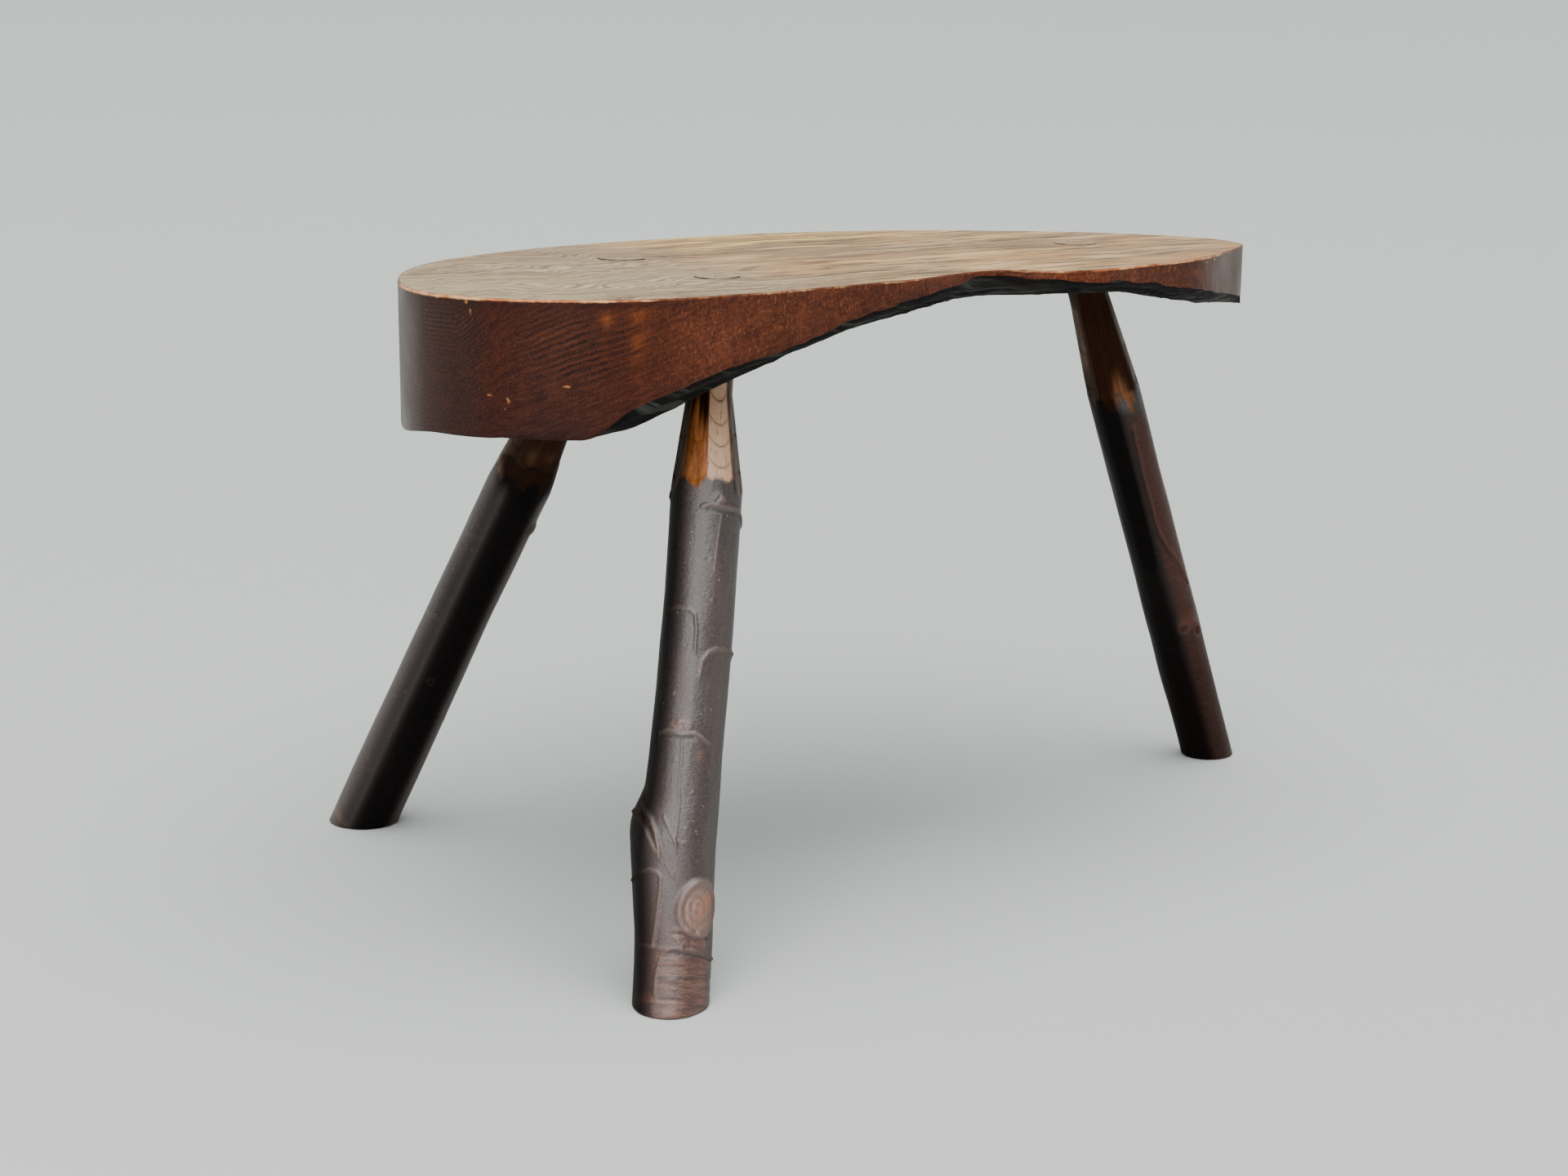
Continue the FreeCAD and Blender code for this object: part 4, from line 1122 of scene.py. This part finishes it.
def right_relief(turn, distance):
    """Bark of the right pole, a sum of bells and steps of distance: a ridge that follows its
    whittled point down, low arches, and two small knots."""
    bark = turn, distance
    height = raised(bark, RIGHT_STROKES)
    knots = eye_of(bark, (22, 138), 4.6, 4.2), eye_of(bark, (54, 130), 4.2, 5.0)
    for knot in knots:
        height += 1.6 * bell(knot - 1.0, 0.3) - 0.9 * (1 - eased(knot, 0.2, 0.6))
    height += 1.4 * (1 - eased(eye_of(bark, (36, 142), 15.0, 12.0), 0.3, 1.1))
    # Painted shade: a dark band on the left, darker on the left and low down, and the head shaded
    # under the slab.
    band = bell(turn + 18, 30, 4) * within(distance, 110, 220, 356, 362)
    spot = eye_of((turn + 5 * ripple(turn / 8, distance / 12, 92, (45, 64)), distance),
                  (22, 356), 9.5, 25.0)
    patch = np.maximum.reduce([
        0.45 * (1 - eased(spot, 0.2, 1.3)) * eased(distance, 338, 348),
        0.14 * eased(-turn, 34, 50) * within(distance, 372, 392, 432, 440),
        0.2 * eased(turn, 56, 66) * eased(distance, 345, 360)])
    low = 0.5 + 0.34 * (1 - eased(turn, -10, 30)) + 0.14 * (1 - eased(distance, 60, 200))
    shade = np.maximum.reduce([band, low, 0.86 * eased(distance, 350, 360)]) * (1 - patch)
    red = np.maximum(0.85 * eased(turn, 2, 30) * (1 - eased(distance, 330, 345)),
                     0.7 * (1 - eased(distance, 60, 130)))
    inside, lips, rims = (np.maximum(*pair) for pair in (
        [1 - eased(knot, 0.3, 0.9) for knot in knots], [bell(knot - 1, 0.3) for knot in knots],
        [bell(knot - 0.66, 0.16) for knot in knots]))
    scar = np.maximum.reduce([0.3 * red, 0.4 * inside, 0.7 * lips, 0.8 * bell(distance - 3, 3.0)])
    # Painted shade in the crease beside the ridge.
    cracks = np.clip(raised(bark, [(0.9, w, line) for h, w, line in RIGHT_STROKES if h < 0]), 0, 1)
    return height, {"scar": scar, "shade": shade, "red": red, "heart": 0 * turn,
                    "dark_lines_and_crease_shade": np.maximum(cracks, 0.9 * rims), "crest_highlight": np.clip(height / 1.7, 0, 1)}


right_leg = pole_piece(
    "right_leg", girth=42.4, taper=(48.0, 84.0), facet_heading=-75.0, face_heading=-133.0,
    wedge_heading=78.0, columns=176, bark_rows=300, relief=right_relief, seed=90, rim_shade=0.9,
    shares=[
        (-0.060, 1.01, 0.00), (0.080, 1.00, 0.00), (0.200, 1.025, 0.01), (0.275, 1.03, 0.00),
        (0.380, 1.005, 0.00), (0.540, 0.99, 0.00), (0.700, 1.00, 0.00), (0.950, 1.00, 0.00)],
    knife=[
        (0.3, 6.0, (360, 392), 0.30, 0.3), (0.1, 6.0, (366, 396), 0.40, 0.3),
        (0.0, 5.0, (357, 388), 0.35, 0.3), (0.2, 6.0, (363, 392), 0.45, 0.3),
        (0.0, 6.0, (358, 390), 0.35, 0.3), (0.1, 5.0, (365, 396), 0.40, 0.3),
        (0.2, 9.0, (345, 372), 0.9, 0.1), (0.1, 9.0, (338, 352), 0.95, 0.1)])
right_leg.data.materials.append(pole_finish)
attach(right_leg, "root")
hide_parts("right_leg")


# The wedges. Thin tapering slips of the same wood as the poles, driven into the split ends of the
# tenons and trimmed level with them. They keep their solids' shape and get a worn finish.
wedge_finish, tree, shader = new_finish("driven_wedge")
spot = in_object(tree)
grain, pores = fibre(spot, (1.0, 1.0, 0.3), 700.0)
grime = clouds(spot, 120.0, 0.4, 0.6)
colour = coated(tinted(grain, (136, 120, 96), (164, 148, 120)), [
    (grime * 0.2, (72, 56, 44)),
    (pores * 0.7, (24, 16, 12)),
])
surfaced(shader, colour, grime.spread(0.0, 1.0, 0.42, 0.6), grain, 0.4, 0.0004)
for name in ("front_wedge", "back_left_wedge", "right_wedge"):
    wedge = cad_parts[name]
    wedge.data.materials.clear()
    wedge.data.materials.append(wedge_finish)


# The studio: a plain pale floor that sweeps up behind the table, a pale surround, soft lights, and
# the camera, which stands where the photograph was taken from and leans by half a degree.
AHEAD, RIGHTWARD = np.array([0.570, 0.8216, 0.0]), np.array([0.8216, -0.570, 0.0])
SWEEP_RADIUS, SWEEP_HALF_WIDTH = 3.0, 12.0
WINDOW_PLACE, TABLE_MIDDLE = (-2.3, -2.1, 1.3), (0.0, 0.0, 0.3)
CAMERA_PLACE = (-1.13015, -1.5265, 0.6383)
CAMERA_PITCH, CAMERA_ROLL = math.radians(13.216), 0.0098

bend = np.radians(np.linspace(0, 90, 25))
away = np.concatenate([[-9.0], SWEEP_RADIUS + SWEEP_RADIUS * np.sin(bend), [6.0]])
rise = np.concatenate([[0.0], SWEEP_RADIUS - SWEEP_RADIUS * np.cos(bend), [8.0]])
sweep = np.array([along * AHEAD + aside * RIGHTWARD + [0, 0, up] for along, up in zip(away, rise)
                  for aside in (-SWEEP_HALF_WIDTH, SWEEP_HALF_WIDTH)])
first = 2 * np.arange(len(away) - 1)
floor = shape_piece("studio_floor", sweep / MM,
                    [(np.stack([first, first + 1, first + 3, first + 2], -1), 0)], {})
floor_finish, tree, shader = new_finish("pale_floor")
shader.inputs["Base Color"].default_value = paint(190, 194, 191)
shader.inputs["Roughness"].default_value = 0.95
shader.inputs["Specular IOR Level"].default_value = 0.1
floor.data.materials.append(floor_finish)

world = bpy.data.worlds.new("pale_surround")
world.use_nodes = True
world.node_tree.nodes["Background"].inputs[0].default_value = paint(228, 234, 232)
world.node_tree.nodes["Background"].inputs[1].default_value = 0.42
bpy.context.scene.world = world


def hung(name, data, matrix):
    """New object of a lamp's or camera's data, placed by its matrix."""
    thing = bpy.data.objects.new(name, data)
    bpy.context.collection.objects.link(thing)
    thing.matrix_world = matrix
    return thing


sky = bpy.data.lights.new("soft_sky", "SUN")
sky.energy, sky.angle = 4.5, math.radians(70)
hung("soft_sky", sky, Vector((-0.05, -0.22, 0.97)).to_track_quat("Z", "Y").to_matrix().to_4x4())
window = bpy.data.lights.new("soft_window", "AREA")
window.shape, window.size, window.size_y, window.energy = "RECTANGLE", 2.0, 1.9, 58.0
towards = Vector(TABLE_MIDDLE) - Vector(WINDOW_PLACE)
facing = towards.to_track_quat("-Z", "Y").to_matrix().to_4x4()
hung("soft_window", window, Matrix.Translation(WINDOW_PLACE) @ facing)

sight = AHEAD * math.cos(CAMERA_PITCH) - np.array([0.0, 0.0, math.sin(CAMERA_PITCH)])
upward = np.cross(RIGHTWARD, sight)
camera_x = RIGHTWARD * math.cos(CAMERA_ROLL) + upward * math.sin(CAMERA_ROLL)
camera_y = upward * math.cos(CAMERA_ROLL) - RIGHTWARD * math.sin(CAMERA_ROLL)
lens = bpy.data.cameras.new("camera")
lens.lens, lens.sensor_width, lens.sensor_fit = 58.125, 36.0, "HORIZONTAL"
turned = np.eye(4)
turned[:3] = np.column_stack([camera_x, camera_y, -sight, CAMERA_PLACE])
bpy.context.scene.camera = hung("camera", lens, Matrix(turned.tolist()))
